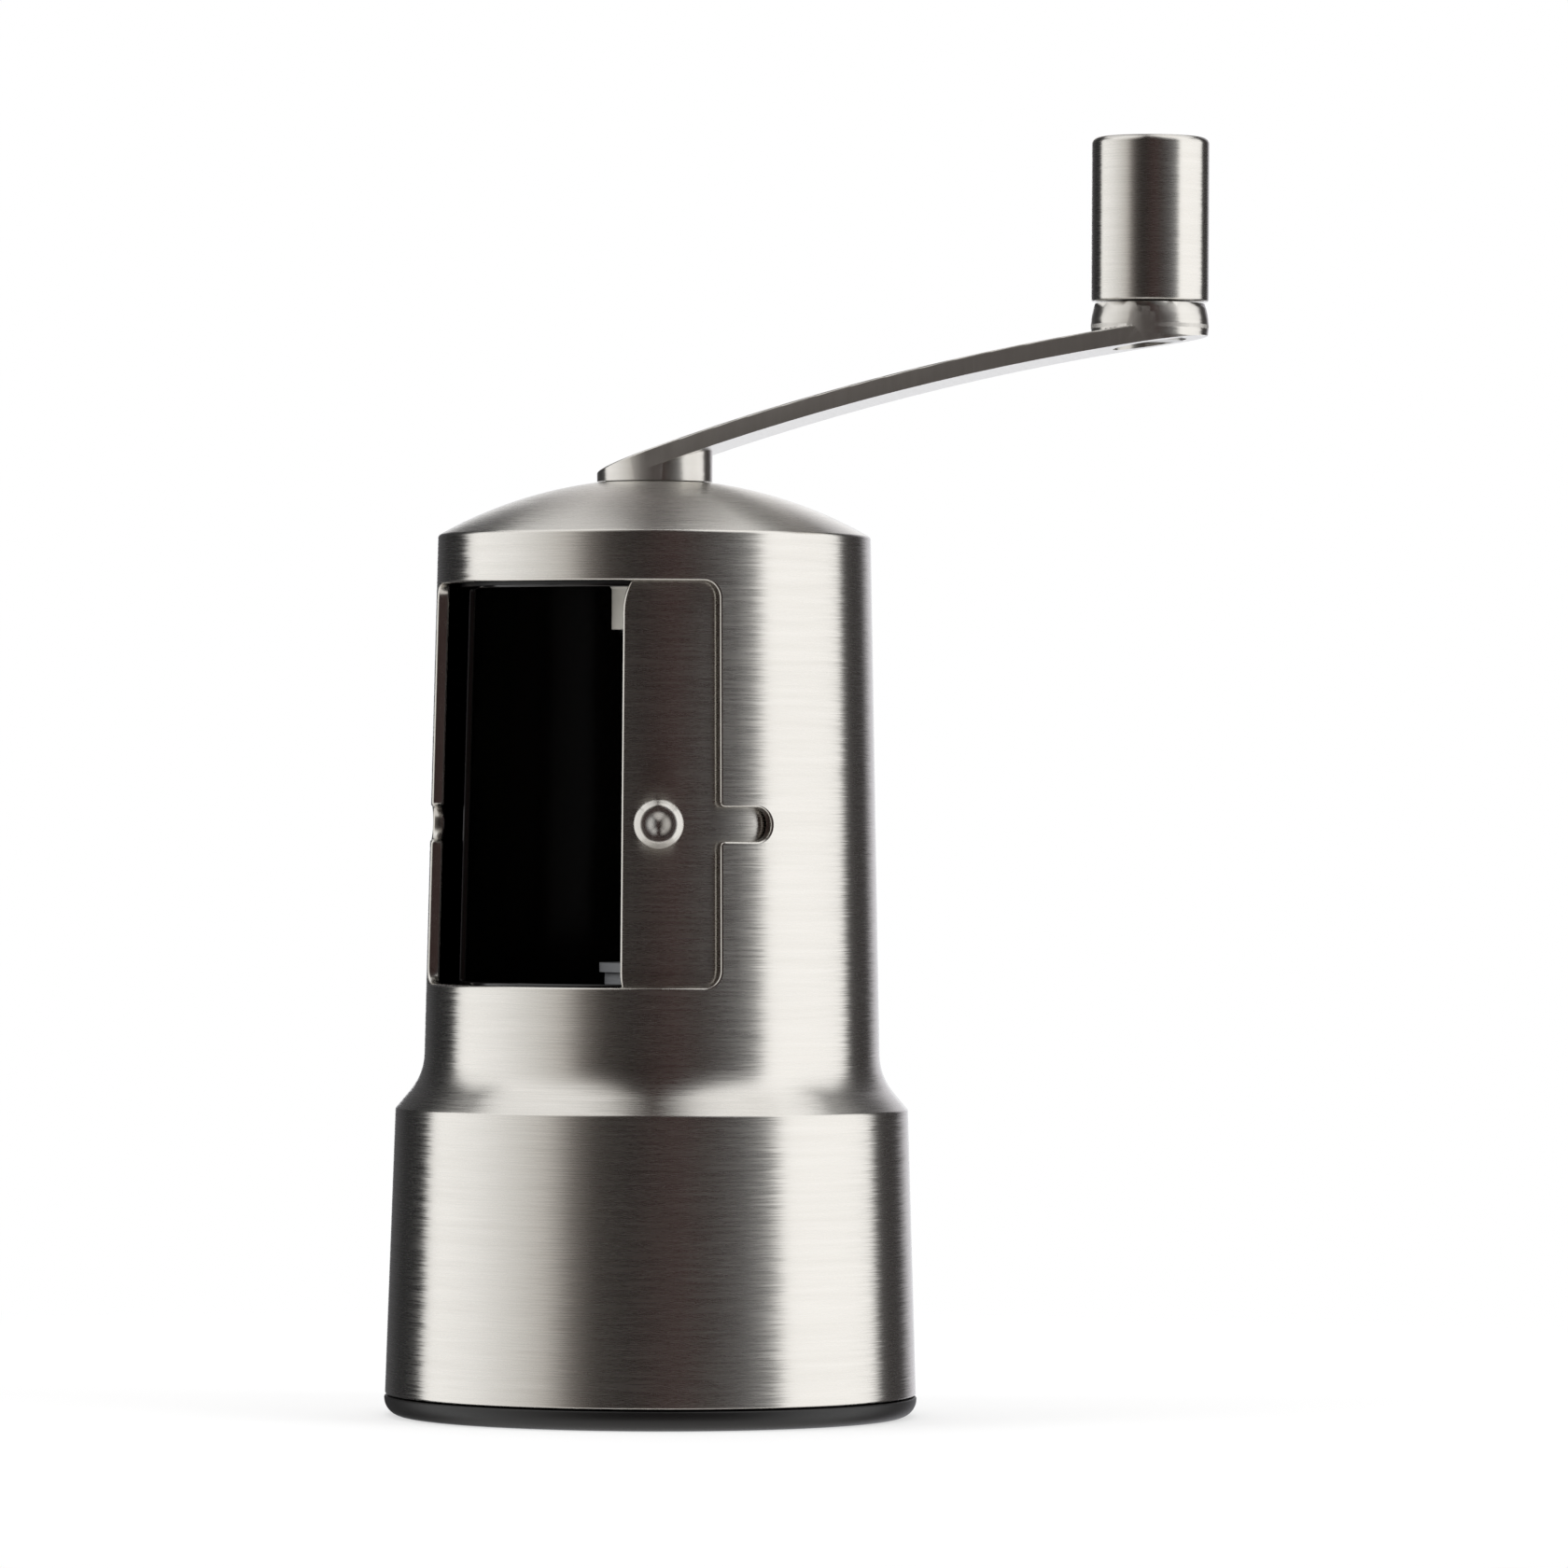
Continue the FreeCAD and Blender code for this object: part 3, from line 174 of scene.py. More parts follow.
def moulded(name, code, rough, ior, grit, depth):
    """Moulded plastic, ceramic or rubber: an even colour, a little clouded over 9 mm and
    broken by a fine mould grain. The grain's width and depth are in millimetres, and the
    width is drawn coarser than the real 0.1 mm so that it shows."""
    made, tree, shader = new_material(name, IOR=ior)
    place = add(tree, "ShaderNodeTexCoord").outputs["Object"]
    grain = add(tree, "ShaderNodeTexNoise", {"Vector": place, "Scale": 1 / (grit * MM), "Detail": 2.0})
    cloud = add(tree, "ShaderNodeTexNoise", {"Vector": place, "Scale": 1 / (9 * MM), "Detail": 1.0})
    shade = add(tree, "ShaderNodeHueSaturation", {
        "Color": srgb(code),
        "Value": add(tree, "ShaderNodeMapRange", {
            "Value": cloud.outputs["Fac"], "To Min": 0.94, "To Max": 1.06}).outputs["Result"]})
    gloss = add(tree, "ShaderNodeMapRange", {
        "Value": grain.outputs["Fac"], "From Min": 0.3, "From Max": 0.7,
        "To Min": rough - 0.05, "To Max": rough + 0.05})
    bump = add(tree, "ShaderNodeBump", {
        "Height": grain.outputs["Fac"], "Strength": 0.4, "Distance": depth * MM})
    tree.links.new(shade.outputs["Color"], shader.inputs["Base Color"])
    tree.links.new(gloss.outputs["Result"], shader.inputs["Roughness"])
    tree.links.new(bump.outputs["Normal"], shader.inputs["Normal"])
    return made


# The local frames that pieces are turned or brushed in
BODY_FRAME = Matrix()
CRANK_FRAME = Matrix.Rotation(math.radians(CRANK_TURN), 4, "Z")
KNOB_FRAME = CRANK_FRAME @ Matrix.Translation((CRANK_REACH * MM, 0, 0))
BUTTON_FRAME = (
    Matrix.Translation((0, 0, NOTCH_Z * MM)) @ Matrix.Rotation(math.radians(BUTTON_TURN), 4, "Z")
    @ Matrix.Rotation(math.pi / 2, 4, "Y"))

# Shell and door: upright bands of light and dark with softly frayed edges
body_steel = stainless("Stainless steel brushed around the body", BODY_FRAME, bite=0.6)
# Knob: the same bands, with cleaner edges and fewer scratches
knob_steel = stainless("Stainless steel brushed around the knob", KNOB_FRAME, lean=0.07, bite=0.4)
# Crank arm: a dull even grey along the bar, from marks that cross it
arm_steel = stainless("Stainless steel brushed across the arm", rough=0.3, stroke=5, bite=0.5)
# Button: rings of light round its head and dish
button_steel = stainless("Stainless steel turned button", BUTTON_FRAME, rough=0.26)
# Cut edges of the window and door: a thin bright line
edge_steel = plain_steel("Stainless steel cut edge", "#D9D6D0", rough=0.24)
# Shaft, axle and screws: plain bright metal with soft highlights
pin_steel = plain_steel("Turned steel", "#BFBDB9", rough=0.3)
# Spring, clips and washer: a darker, harder looking metal
spring_steel = plain_steel("Drawn spring steel", "#A9A8A6", rough=0.27)
# Lining behind the window: deep black, with faint sharp reflections
liner_black = moulded("Polished black ABS", "#0B0909", rough=0.12, ior=1.53, grit=0.8, depth=0.001)
# Hopper and door guide: dull black with a weak sheen
hopper_black = moulded("Moulded black ABS", "#121112", rough=0.4, ior=1.53, grit=0.25, depth=0.01)
# Lid: black, with a soft grey light along its rounded edge
lid_black = moulded("Satin moulded black rubber", "#0F0E0E", rough=0.42, ior=1.52, grit=0.25, depth=0.01)
# Bushes: a milky off-white in the dark of the window
bush_pale = moulded("Pale acetal", "#CFCBC2", rough=0.4, ior=1.48, grit=0.3, depth=0.005)
# Tower, burr housing and nut: a flat mid grey
tower_grey = moulded("Grey glass-filled nylon", "#77787A", rough=0.45, ior=1.53, grit=0.3, depth=0.01)
# Burrs: a chalky warm white
ceramic = moulded("Sintered ceramic", "#E4E0D8", rough=0.5, ior=1.75, grit=0.2, depth=0.01)
# Seal: a soft black without shine
rubber = moulded("Black silicone rubber", "#161616", rough=0.55, ior=1.41, grit=0.3, depth=0.008)

FINISH = {
    pin_steel: ("drive_shaft", "knob_axle", "button_screw"),
    spring_steel: ("burr_spring", "shaft_clip", "knob_clip", "thrust_washer"),
    hopper_black: ("hopper", "upper_door_guide"),
    rubber: ("lid_seal",),
    bush_pale: ("top_bush", "lower_bush", "knob_bush"),
    tower_grey: ("bearing_spider", "burr_housing", "burr_core", "adjuster_nut"),
    ceramic: ("outer_burr", "inner_burr"),
}
for finish, node_names in FINISH.items():
    for node_name in node_names:
        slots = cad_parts[node_name].data.materials
        slots.clear()
        slots.append(finish)


def rounded_path(corners, step, closed=False):
    """Points along straight runs whose corners (x, y, radius) are rounded by arcs, with a
    point about every so many degrees."""
    spots = [complex(x, y) for x, y, _ in corners]
    points = []
    for index, (at, (_, _, radius)) in enumerate(zip(spots, corners)):
        if not radius or (not closed and index in (0, len(spots) - 1)):
            points.append(at)
            continue
        arriving = at - spots[index - 1]
        leaving = spots[(index + 1) % len(spots)] - at
        arriving /= abs(arriving)
        leaving /= abs(leaving)
        bend = cmath.phase(leaving / arriving)
        first = at - arriving * radius * math.tan(abs(bend) / 2)
        inward = arriving * complex(0, math.copysign(radius, bend))
        parts = max(2, round(abs(math.degrees(bend)) / step))
        points += [first + inward - inward * cmath.rect(1, bend * part / parts) for part in range(parts + 1)]
    return [Vector((point.real, point.imag)) for point in points]


def new_tree(name, result, **inputs):
    """Geometry Nodes tree with inputs by name and kind, and one result."""
    tree = bpy.data.node_groups.new(name, "GeometryNodeTree")
    for socket, kind in inputs.items():
        tree.interface.new_socket(socket, in_out="INPUT", socket_type="NodeSocket" + kind)
    tree.interface.new_socket(result, in_out="OUTPUT", socket_type="NodeSocketGeometry")
    return tree, add(tree, "NodeGroupInput").outputs


def lathe():
    """Geometry Nodes tree that turns a line of points about the upright axis."""
    tree, given = new_tree("Turned piece", "Piece", Section="Geometry", Steps="Int", Finish="Material")
    size = add(tree, "GeometryNodeAttributeDomainSize", {"Geometry": given["Section"]})
    points = size.outputs["Point Count"]
    columns = add(tree, "ShaderNodeMath", {0: given["Steps"], 1: 1.0}, operation="ADD")
    sheet = add(tree, "GeometryNodeMeshGrid", {"Vertices X": columns.outputs[0], "Vertices Y": points})
    index = add(tree, "GeometryNodeInputIndex").outputs["Index"]
    row = add(tree, "ShaderNodeMath", {0: index, 1: points}, operation="FLOORED_MODULO")
    share = add(tree, "ShaderNodeMath", {0: index, 1: points}, operation="DIVIDE")
    column = add(tree, "ShaderNodeMath", {0: share.outputs[0]}, operation="FLOOR")
    part = add(tree, "ShaderNodeMath", {0: column.outputs[0], 1: given["Steps"]}, operation="DIVIDE")
    angle = add(tree, "ShaderNodeMath", {0: part.outputs[0], 1: math.tau}, operation="MULTIPLY")
    spot = add(tree, "GeometryNodeSampleIndex", {
        "Geometry": given["Section"], "Value": add(tree, "GeometryNodeInputPosition").outputs["Position"],
        "Index": row.outputs[0]}, data_type="FLOAT_VECTOR")
    turned_spot = add(tree, "ShaderNodeVectorRotate", {
        "Vector": spot.outputs["Value"], "Angle": angle.outputs[0]}, rotation_type="Z_AXIS")
    placed = add(tree, "GeometryNodeSetPosition", {
        "Geometry": sheet.outputs["Mesh"], "Position": turned_spot.outputs["Vector"]})
    joined = add(tree, "GeometryNodeMergeByDistance", {
        "Geometry": placed.outputs["Geometry"], "Distance": TURN_MERGE * MM})
    whole = add(tree, "GeometryNodeRealizeInstances", {"Geometry": joined.outputs["Geometry"]})
    painted = add(tree, "GeometryNodeSetMaterial", {
        "Geometry": whole.outputs["Geometry"], "Material": given["Finish"]})
    add(tree, "NodeGroupOutput", {"Piece": painted.outputs["Geometry"]})
    return tree


LATHE = lathe()


def ring_of_screws():
    """Geometry Nodes tree that sets copies of one piece in a ring, each turned at random."""
    tree, given = new_tree(
        "Ring of screws", "Ring",
        Screw="Geometry", Count="Int", Radius="Float", Seed="Int", Finish="Material")
    circle = add(tree, "GeometryNodeMeshCircle", {"Vertices": given["Count"], "Radius": given["Radius"]})
    tightened = add(tree, "FunctionNodeRandomValue", {
        "Max": (0, 0, math.tau), "Seed": given["Seed"]}, data_type="FLOAT_VECTOR")
    copies = add(tree, "GeometryNodeInstanceOnPoints", {
        "Points": circle.outputs["Mesh"], "Instance": given["Screw"], "Rotation": tightened.outputs["Value"]})
    whole = add(tree, "GeometryNodeRealizeInstances", {"Geometry": copies.outputs["Instances"]})
    painted = add(tree, "GeometryNodeSetMaterial", {
        "Geometry": whole.outputs["Geometry"], "Material": given["Finish"]})
    add(tree, "NodeGroupOutput", {"Ring": painted.outputs["Geometry"]})
    return tree


def held(name, data):
    """An object in the scene that holds a mesh, a lamp or a camera."""
    holder = bpy.data.objects.new(name, data)
    bpy.context.scene.collection.objects.link(holder)
    return holder


def taken_in(holder):
    """The holder's mesh with its modifiers applied. The holder goes."""
    graph = bpy.context.evaluated_depsgraph_get()
    mesh = bpy.data.meshes.new_from_object(holder.evaluated_get(graph), depsgraph=graph)
    holder.modifiers.clear()
    bpy.data.objects.remove(holder)
    return mesh


def put_through(tree, name, mesh, **inputs):
    """What a Geometry Nodes tree makes of a mesh, with the tree's inputs by name."""
    holder = held(name, mesh)
    maker = holder.modifiers.new(name, "NODES")
    maker.node_group = tree
    for item in tree.interface.items_tree:
        if item.in_out == "INPUT" and item.name in inputs:
            maker[item.identifier] = inputs[item.name]
    return taken_in(holder)


def turned(name, section, finish, steps=240):
    """A closed section of (radius, height) points in millimetres, turned to a mesh."""
    line = bpy.data.meshes.new(name)
    line.from_pydata([(x * MM, 0, y * MM) for x, y in [*section, section[0]]], [], [])
    return put_through(LATHE, name, line, Steps=steps, Finish=finish)


def eased(mesh, width):
    """A merged CAD shape whose corners are rounded off by a width in millimetres."""
    holder = held(mesh.name, mesh)
    rounder = holder.modifiers.new("rounding", "BEVEL")
    rounder.width = width * MM
    rounder.segments = 3
    rounder.limit_method = "ANGLE"
    rounder.angle_limit = math.radians(50)
    return taken_in(holder)


def tidied(mesh, sharp=None):
    """Doubles merged, faces outward, and shading led by the large faces. Edges that turn
    more than the sharp angle stay crisp, and so do those between two finishes."""
    work = bmesh.new()
    work.from_mesh(mesh)
    bmesh.ops.remove_doubles(work, verts=work.verts, dist=TIDY_MERGE * MM)
    bmesh.ops.dissolve_degenerate(work, edges=work.edges, dist=SLIVER * MM)
    bmesh.ops.recalc_face_normals(work, faces=work.faces)
    for face in work.faces:
        face.smooth = True
    for edge in work.edges:
        one_finish = len({face.material_index for face in edge.link_faces}) == 1
        edge.smooth = one_finish and (sharp is None or edge.calc_face_angle(0) < math.radians(sharp))
    plain = bpy.data.meshes.new(mesh.name)
    work.to_mesh(plain)
    work.free()
    holder = held(plain.name, plain)
    leader = holder.modifiers.new("shading", "WEIGHTED_NORMAL")
    leader.mode = "FACE_AREA"
    leader.weight = 80
    leader.keep_sharp = True
    return taken_in(holder)


def lay_brushing(mesh, frame_of, axis_of=None):
    """UV map in metres whose U runs with the brushing marks, round the upright axis of the
    frame. Given axis_of, only the faces that it finds an axis for are brushed round that
    axis, and the others straight across the frame."""
    layer = mesh.uv_layers.new(name="brushing")
    to_frame = frame_of.inverted()
    for face in mesh.polygons:
        to_axis = axis_of(face, frame_of) if axis_of else to_frame
        spots = [(to_axis or to_frame) @ mesh.vertices[vertex].co for vertex in face.vertices]
        middle = sum(spots, Vector()) / len(spots)
        lead = math.atan2(middle.y, middle.x)
        for loop, spot in zip(face.loop_indices, spots):
            if to_axis:
                swing = math.remainder(math.atan2(spot.y, spot.x) - lead, math.tau) + lead
                layer.data[loop].uv = (swing * max(middle.xy.length, HAIR * MM), spot.z - spot.xy.length)
            else:
                layer.data[loop].uv = (spot.y + spot.z, spot.x)


def finished(name, mesh, finishes, body, slot, *nodes):
    """A piece of the object that stands for one CAD node or more."""
    if len(finishes) == 1:
        mesh.polygons.foreach_set("material_index", [0] * len(mesh.polygons))
    for finish in finishes:
        mesh.materials.append(finish)
    made = held(name, mesh)
    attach(made, body)
    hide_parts(*nodes)


# Steel shell: a turned section, with the window let into its wall
def grip(z):
    """Outside radius of the grip at a height."""
    return GRIP_R + (RIM_R - GRIP_R) * (z - SHOULDER_Z) / (RIM_Z - SHOULDER_Z)


DOME_R = (RIM_R ** 2 + DOME_RISE ** 2) / (2 * DOME_RISE)
DOME_Z = RIM_Z + DOME_RISE - DOME_R


def dome(r, skin=0.0):
    """Height of the dome at a radius, so deep in its wall."""
    return DOME_Z + math.sqrt((DOME_R - skin) ** 2 - r ** 2)


def between(first, last, share):
    """The number a share of the way from one to another."""
    return first - (first - last) * share


WALL_DROP = WALL * math.tan(math.atan((CREASE_R - GRIP_R) / (SHOULDER_Z - CREASE_Z)) / 2)
INNER_RIM = RIM_R - WALL
# Heights of the points up the grip, and radii of those over the dome, clear of the rim's rounding
ROWS = list(range(60, 130, 3))
DOME_ROWS, RIM_MARGIN, INNER_MARGIN = 22, 1.2, 1
outside_dome = [between(RIM_R - RIM_MARGIN, DOME_HOLE_R, n / DOME_ROWS) for n in range(DOME_ROWS)]
inside_dome = [between(DOME_HOLE_R, INNER_RIM - INNER_MARGIN, n / DOME_ROWS) for n in range(1, DOME_ROWS + 1)]
shell_section = rounded_path((
    (FOOT_R - WALL, FOOT_Z, 0.2), (FOOT_R, FOOT_Z, 0.3), (CREASE_R, CREASE_Z, 0.55),
    (GRIP_R, SHOULDER_Z, SHOULDER_ROUND),
    *((grip(z), z, 0) for z in ROWS), (RIM_R, RIM_Z, 0.6),
    *((r, dome(r), 0) for r in outside_dome),
    (DOME_HOLE_R, dome(DOME_HOLE_R), 0.25), (DOME_HOLE_R, dome(DOME_HOLE_R, WALL), 0.2),
    *((r, dome(r, WALL), 0) for r in inside_dome), (INNER_RIM, dome(INNER_RIM, WALL), 0.3),
    *((grip(z) - WALL, z, 0) for z in reversed(ROWS)),
    (GRIP_R - WALL, SHOULDER_Z - WALL_DROP, SHOULDER_ROUND + WALL),
    (CREASE_R - WALL, CREASE_Z - WALL_DROP, 0.5)), step=6, closed=True)

# Curved plates are laid out on the flat, as a wall of this radius unrolls. Upright rows of
# points stand so many degrees apart. The points of a cut edge are at most CUT_GAP apart, in
# millimetres, and the others keep CUT_CLEAR away from them.
FLAT_R = 33.4
COLUMN = 1.5
CUT_GAP, CUT_CLEAR, CUT_MEET = 0.8, 0.5, 1e-5
# A cut edge is rounded by this much, and has the second finish of its piece.
EDGE = 0.35
CUT_SLOT = 1


def flat(degrees):
    """Run round the wall, in millimetres on the flat."""
    return math.radians(degrees) * FLAT_R


def flat_columns(count):
    """Places of upright rows of points, so many each way from the middle."""
    return [flat(n * COLUMN) for n in range(-count, count + 1)]


def close_points(outline, gap):
    """The closed outline with points added so that none are further apart. Where two all
    but meet, one goes."""
    points = []
    for index, at in enumerate(outline):
        to = outline[(index + 1) % len(outline)]
        run = (to - at).length
        if run > gap / 10:
            parts = math.ceil(run / gap)
            points += [at.lerp(to, part / parts) for part in range(parts)]
    return points


def offset(outline, amount):
    """The outline moved to its right by an amount."""
    moved = []
    for index, at in enumerate(outline):
        along = (outline[(index + 1) % len(outline)] - outline[index - 1]).normalized()
        moved.append(at + Vector((along.y, -along.x)) * amount)
    return moved


def inside(point, outline):
    """Whether a point lies within a closed outline."""
    odd = False
    for index, a in enumerate(outline):
        b = outline[index - 1]
        if (a.y > point.y) != (b.y > point.y):
            if point.x < (b.x - a.x) * (point.y - a.y) / (b.y - a.y) + a.x:
                odd = not odd
    return odd


def cut_plate(work, outline, columns, rows, keep_inside, face_r, thick, facing):
    """Add a curved plate to the work mesh: what lies within the outline, or round it,
    with rounded edges where it is cut. The outline runs anticlockwise on the flat."""
    away = 1 if keep_inside else -1
    rim = offset(outline, -EDGE * away)
    spots = list(rim)
    for x in columns:
        for y in rows:
            spot = Vector((x, y))
            clear = min((spot - other).length_squared for other in rim) > CUT_CLEAR ** 2
            if clear and inside(spot, rim) == keep_inside:
                spots.append(spot)
    loop = [(n, (n + 1) % len(rim)) for n in range(len(rim))]
    found, _, triangles, _, _, _ = delaunay_2d_cdt(spots, loop, [], 0, CUT_MEET)
    kept = [t for t in triangles
            if inside(sum((found[n] for n in t), Vector((0, 0))) / 3, rim) == keep_inside]

    def lift(spot, deep):
        """A point of the flat plate on its curve, so deep under its face."""
        angle = spot.x / FLAT_R + math.radians(facing)
        r = face_r(spot.y) - deep
        return work.verts.new((r * math.cos(angle) * MM, r * math.sin(angle) * MM, spot.y * MM))

    used = sorted({n for t in kept for n in t})
    for deep in (0, thick):
        there = {n: lift(found[n], deep) for n in used}
        for t in kept:
            work.faces.new([there[n] for n in t])
    # Each lip is a quarter round in three parts, with the cut face between the two.
    bend = [math.radians(part * 30) for part in range(4)]
    lips = [(EDGE * (1 - math.sin(b)), EDGE * (1 - math.cos(b))) for b in bend]
    lips += [(across, thick - deep) for across, deep in reversed(lips)]
    rings = [[lift(spot, deep) for spot in offset(outline, -across * away)] for across, deep in lips]
    for before, after in zip(rings, rings[1:]):
        for a, b in loop:
            work.faces.new((before[a], before[b], after[b], after[a])).material_index = CUT_SLOT


window_side = flat(WINDOW_HALF)
notch_end = flat(WINDOW_HALF + NOTCH_REACH)
NOTCH_LOW, NOTCH_HIGH = NOTCH_Z - NOTCH_HALF, NOTCH_Z + NOTCH_HALF
NOTCH_ROUND = NOTCH_HALF - HAIR
right_side = (
    (window_side, WINDOW_LOW, WINDOW_CORNER), (window_side, NOTCH_LOW, NOTCH_CORNER),
    (notch_end, NOTCH_LOW, NOTCH_ROUND), (notch_end, NOTCH_HIGH, NOTCH_ROUND),
    (window_side, NOTCH_HIGH, NOTCH_CORNER), (window_side, WINDOW_HIGH, WINDOW_CORNER))
left_side = [(-x, y, r) for x, y, r in reversed(right_side)]
window = close_points(rounded_path((*right_side, *left_side), step=6, closed=True), CUT_GAP)

shell_mesh = turned("shell", shell_section, body_steel)
shell_work = bmesh.new()
shell_work.from_mesh(shell_mesh)
for face in shell_work.faces:
    face.material_index = 0
PATCH_HALF, PATCH_SLACK = 75, 0.1
ON_WALL = 0.02


def in_patch(vertex):
    """Whether a point of the turned shell lies on the wall round the window."""
    x, y, z = vertex.co / MM
    turn = math.remainder(math.degrees(math.atan2(y, x)) - WINDOW_FACING, 360)
    skin = grip(z) - math.hypot(x, y)
    on_wall = abs(skin) < ON_WALL or abs(skin - WALL) < ON_WALL
    level = ROWS[0] - PATCH_SLACK < z < ROWS[-1] + PATCH_SLACK
    return on_wall and level and abs(turn) < PATCH_HALF + PATCH_SLACK


patch = [face for face in shell_work.faces if all(in_patch(v) for v in face.verts)]
bmesh.ops.delete(shell_work, geom=patch, context="FACES")
patch_columns = flat_columns(round(PATCH_HALF / COLUMN))
cut_plate(shell_work, window, patch_columns, ROWS, False, grip, WALL, WINDOW_FACING)
shell_work.to_mesh(shell_mesh)
shell_work.free()
shell_mesh = tidied(shell_mesh)
lay_brushing(shell_mesh, BODY_FRAME)
finished("shell", shell_mesh, [body_steel, edge_steel], "body", "brushed_steel", "outer_shell")

# Door plate
door_half = flat(DOOR_ANGLE / 2)
door_outline = close_points(rounded_path((
    (-door_half, DOOR_LOW, DOOR_CORNER), (door_half, DOOR_LOW, DOOR_CORNER),
    (door_half, DOOR_HIGH, DOOR_CORNER), (-door_half, DOOR_HIGH, DOOR_CORNER)), step=6, closed=True), CUT_GAP)
door_mesh = bpy.data.meshes.new("door")
door_work = bmesh.new()
door_columns = flat_columns(round(DOOR_ANGLE / 2 / COLUMN))
door_rows = range(DOOR_LOW + 1, int(DOOR_HIGH), 3)
cut_plate(door_work, door_outline, door_columns, door_rows, True,
          lambda z: grip(z) - DOOR_INSET, DOOR_PLATE, DOOR_START + DOOR_ANGLE / 2)
door_work.to_mesh(door_mesh)
door_work.free()
door_mesh = tidied(door_mesh)
lay_brushing(door_mesh, BODY_FRAME)
finished("door", door_mesh, [body_steel, edge_steel], "door", "brushed_steel", "sliding_door")

# Button, with a smooth dish in its head
HEAD_FOOT = grip(NOTCH_Z) + BUTTON_CLEAR
HEAD_TOP = HEAD_FOOT + BUTTON_HEAD
STEM_FOOT = grip(NOTCH_Z) - DOOR_INSET + STEM_SEAT
DISH_R, DISH_DEPTH, DISH_POINTS = 2.0, 0.75, 12
dish = [(DISH_R * n / DISH_POINTS, HEAD_TOP - DISH_DEPTH * math.cos(n / DISH_POINTS * math.pi / 2) ** 1.5, 0)
        for n in range(DISH_POINTS, -1, -1)]
# The head swells from its foot, stands upright for a little and closes in to the dish.
button_section = rounded_path((
    (0, HEAD_FOOT, 0), (BUTTON_SCREW_R, HEAD_FOOT, 0), (BUTTON_SCREW_R, STEM_FOOT, 0),
    (BUTTON_STEM_R, STEM_FOOT, 0), (BUTTON_STEM_R, HEAD_FOOT, 0.15),
    (BUTTON_R * 0.86, HEAD_FOOT, 0.4), (BUTTON_R, HEAD_FOOT + 0.6, 0.6),
    (BUTTON_R, HEAD_FOOT + 1.5, 0.8), (BUTTON_R * 0.72, HEAD_TOP, 0.7), *dish), step=6)
button_mesh = turned("button", button_section, button_steel, steps=96)
button_mesh.transform(BUTTON_FRAME)
button_mesh = tidied(button_mesh)
lay_brushing(button_mesh, BUTTON_FRAME)
finished("button", button_mesh, [button_steel], "door", "brushed_steel", "door_button")

# Knob, a hair under its CAD height
KNOB_TOP = KNOB_HIGH - 0.001
knob_section = rounded_path((
    (0, KNOB_BORE_HIGH, 0), (KNOB_BORE_R, KNOB_BORE_HIGH, 0.2), (KNOB_BORE_R, KNOB_LOW, 0.3),
    (KNOB_R, KNOB_LOW, 0.35), (KNOB_R, KNOB_TOP, 1.0), (0, KNOB_TOP, 0)), step=8)
knob_mesh = turned("knob", knob_section, knob_steel, steps=160)
knob_mesh.transform(KNOB_FRAME)
knob_mesh = tidied(knob_mesh)
lay_brushing(knob_mesh, KNOB_FRAME)
finished("knob", knob_mesh, [knob_steel], "knob", "brushed_steel", "crank_knob")

# Lid with its plug, which has a groove for the seal
lid_section = rounded_path((
    (0, 0, 0), (LID_R, 0, 2.7), (LID_R, LID_HIGH, 0.3), (PLUG_R, LID_HIGH, 0.15),
    (PLUG_R, GROOVE_LOW, 0.15), (GROOVE_R, GROOVE_LOW, 0.1), (GROOVE_R, GROOVE_HIGH, 0.1),
    (PLUG_R, GROOVE_HIGH, 0.15), (PLUG_R, PLUG_HIGH, 0.4), (PLUG_BORE_R, PLUG_HIGH, 0.4),
    (PLUG_BORE_R, LID_FLOOR, 1.0), (0, LID_FLOOR, 0)), step=8)
lid_mesh = tidied(turned("lid", lid_section, lid_black))
finished("lid", lid_mesh, [lid_black], "lid", "black_rubber", "base_lid")

# Crank arm: the CAD shape, merged. Its bar is brushed across, its hub and boss round.
ARM_HALF = CRANK_HALF * MM
HUB_CLEAR, HUB_EDGE = 0.15, 0.8


def arm_axis(face, frame_of):
    """The axis that a face of the hub or the boss is brushed round, if it has one."""
    for x in (0, CRANK_REACH * MM):
        back = (frame_of @ Matrix.Translation((x, 0, 0))).inverted()
        spot = back @ face.center
        outward = back.to_3x3() @ face.normal
        # The sides of the bar face straight across, so they aren't taken in.
        upright = abs(outward.z) < 0.4 and abs(outward.y) < 0.97
        if upright and spot.xy.length < ARM_HALF + 0.1 * MM:
            return back
    return None


arm_work = bmesh.new()
arm_work.from_mesh(tidied(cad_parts["crank_arm"].data.copy()))
hub_low = min(vertex.co.z for vertex in arm_work.verts) + HAIR * MM
underside = [face for face in arm_work.faces if max(vertex.co.z for vertex in face.verts) < hub_low]
bmesh.ops.inset_region(arm_work, faces=underside, thickness=HUB_EDGE * MM, use_even_offset=True)
for vertex in arm_work.verts:
    # The edge of the hub's foot follows the dome, just clear of it.
    if vertex.co.z < hub_low and vertex.co.xy.length > ARM_HALF - HUB_EDGE / 2 * MM:
        vertex.co.z = (dome(vertex.co.xy.length / MM) + HUB_CLEAR) * MM
arm_mesh = bpy.data.meshes.new("arm")
arm_work.to_mesh(arm_mesh)
arm_work.free()
arm_mesh = tidied(arm_mesh, sharp=50)
lay_brushing(arm_mesh, CRANK_FRAME, arm_axis)
finished("arm", arm_mesh, [arm_steel], "crank", "brushed_steel", "crank_arm")

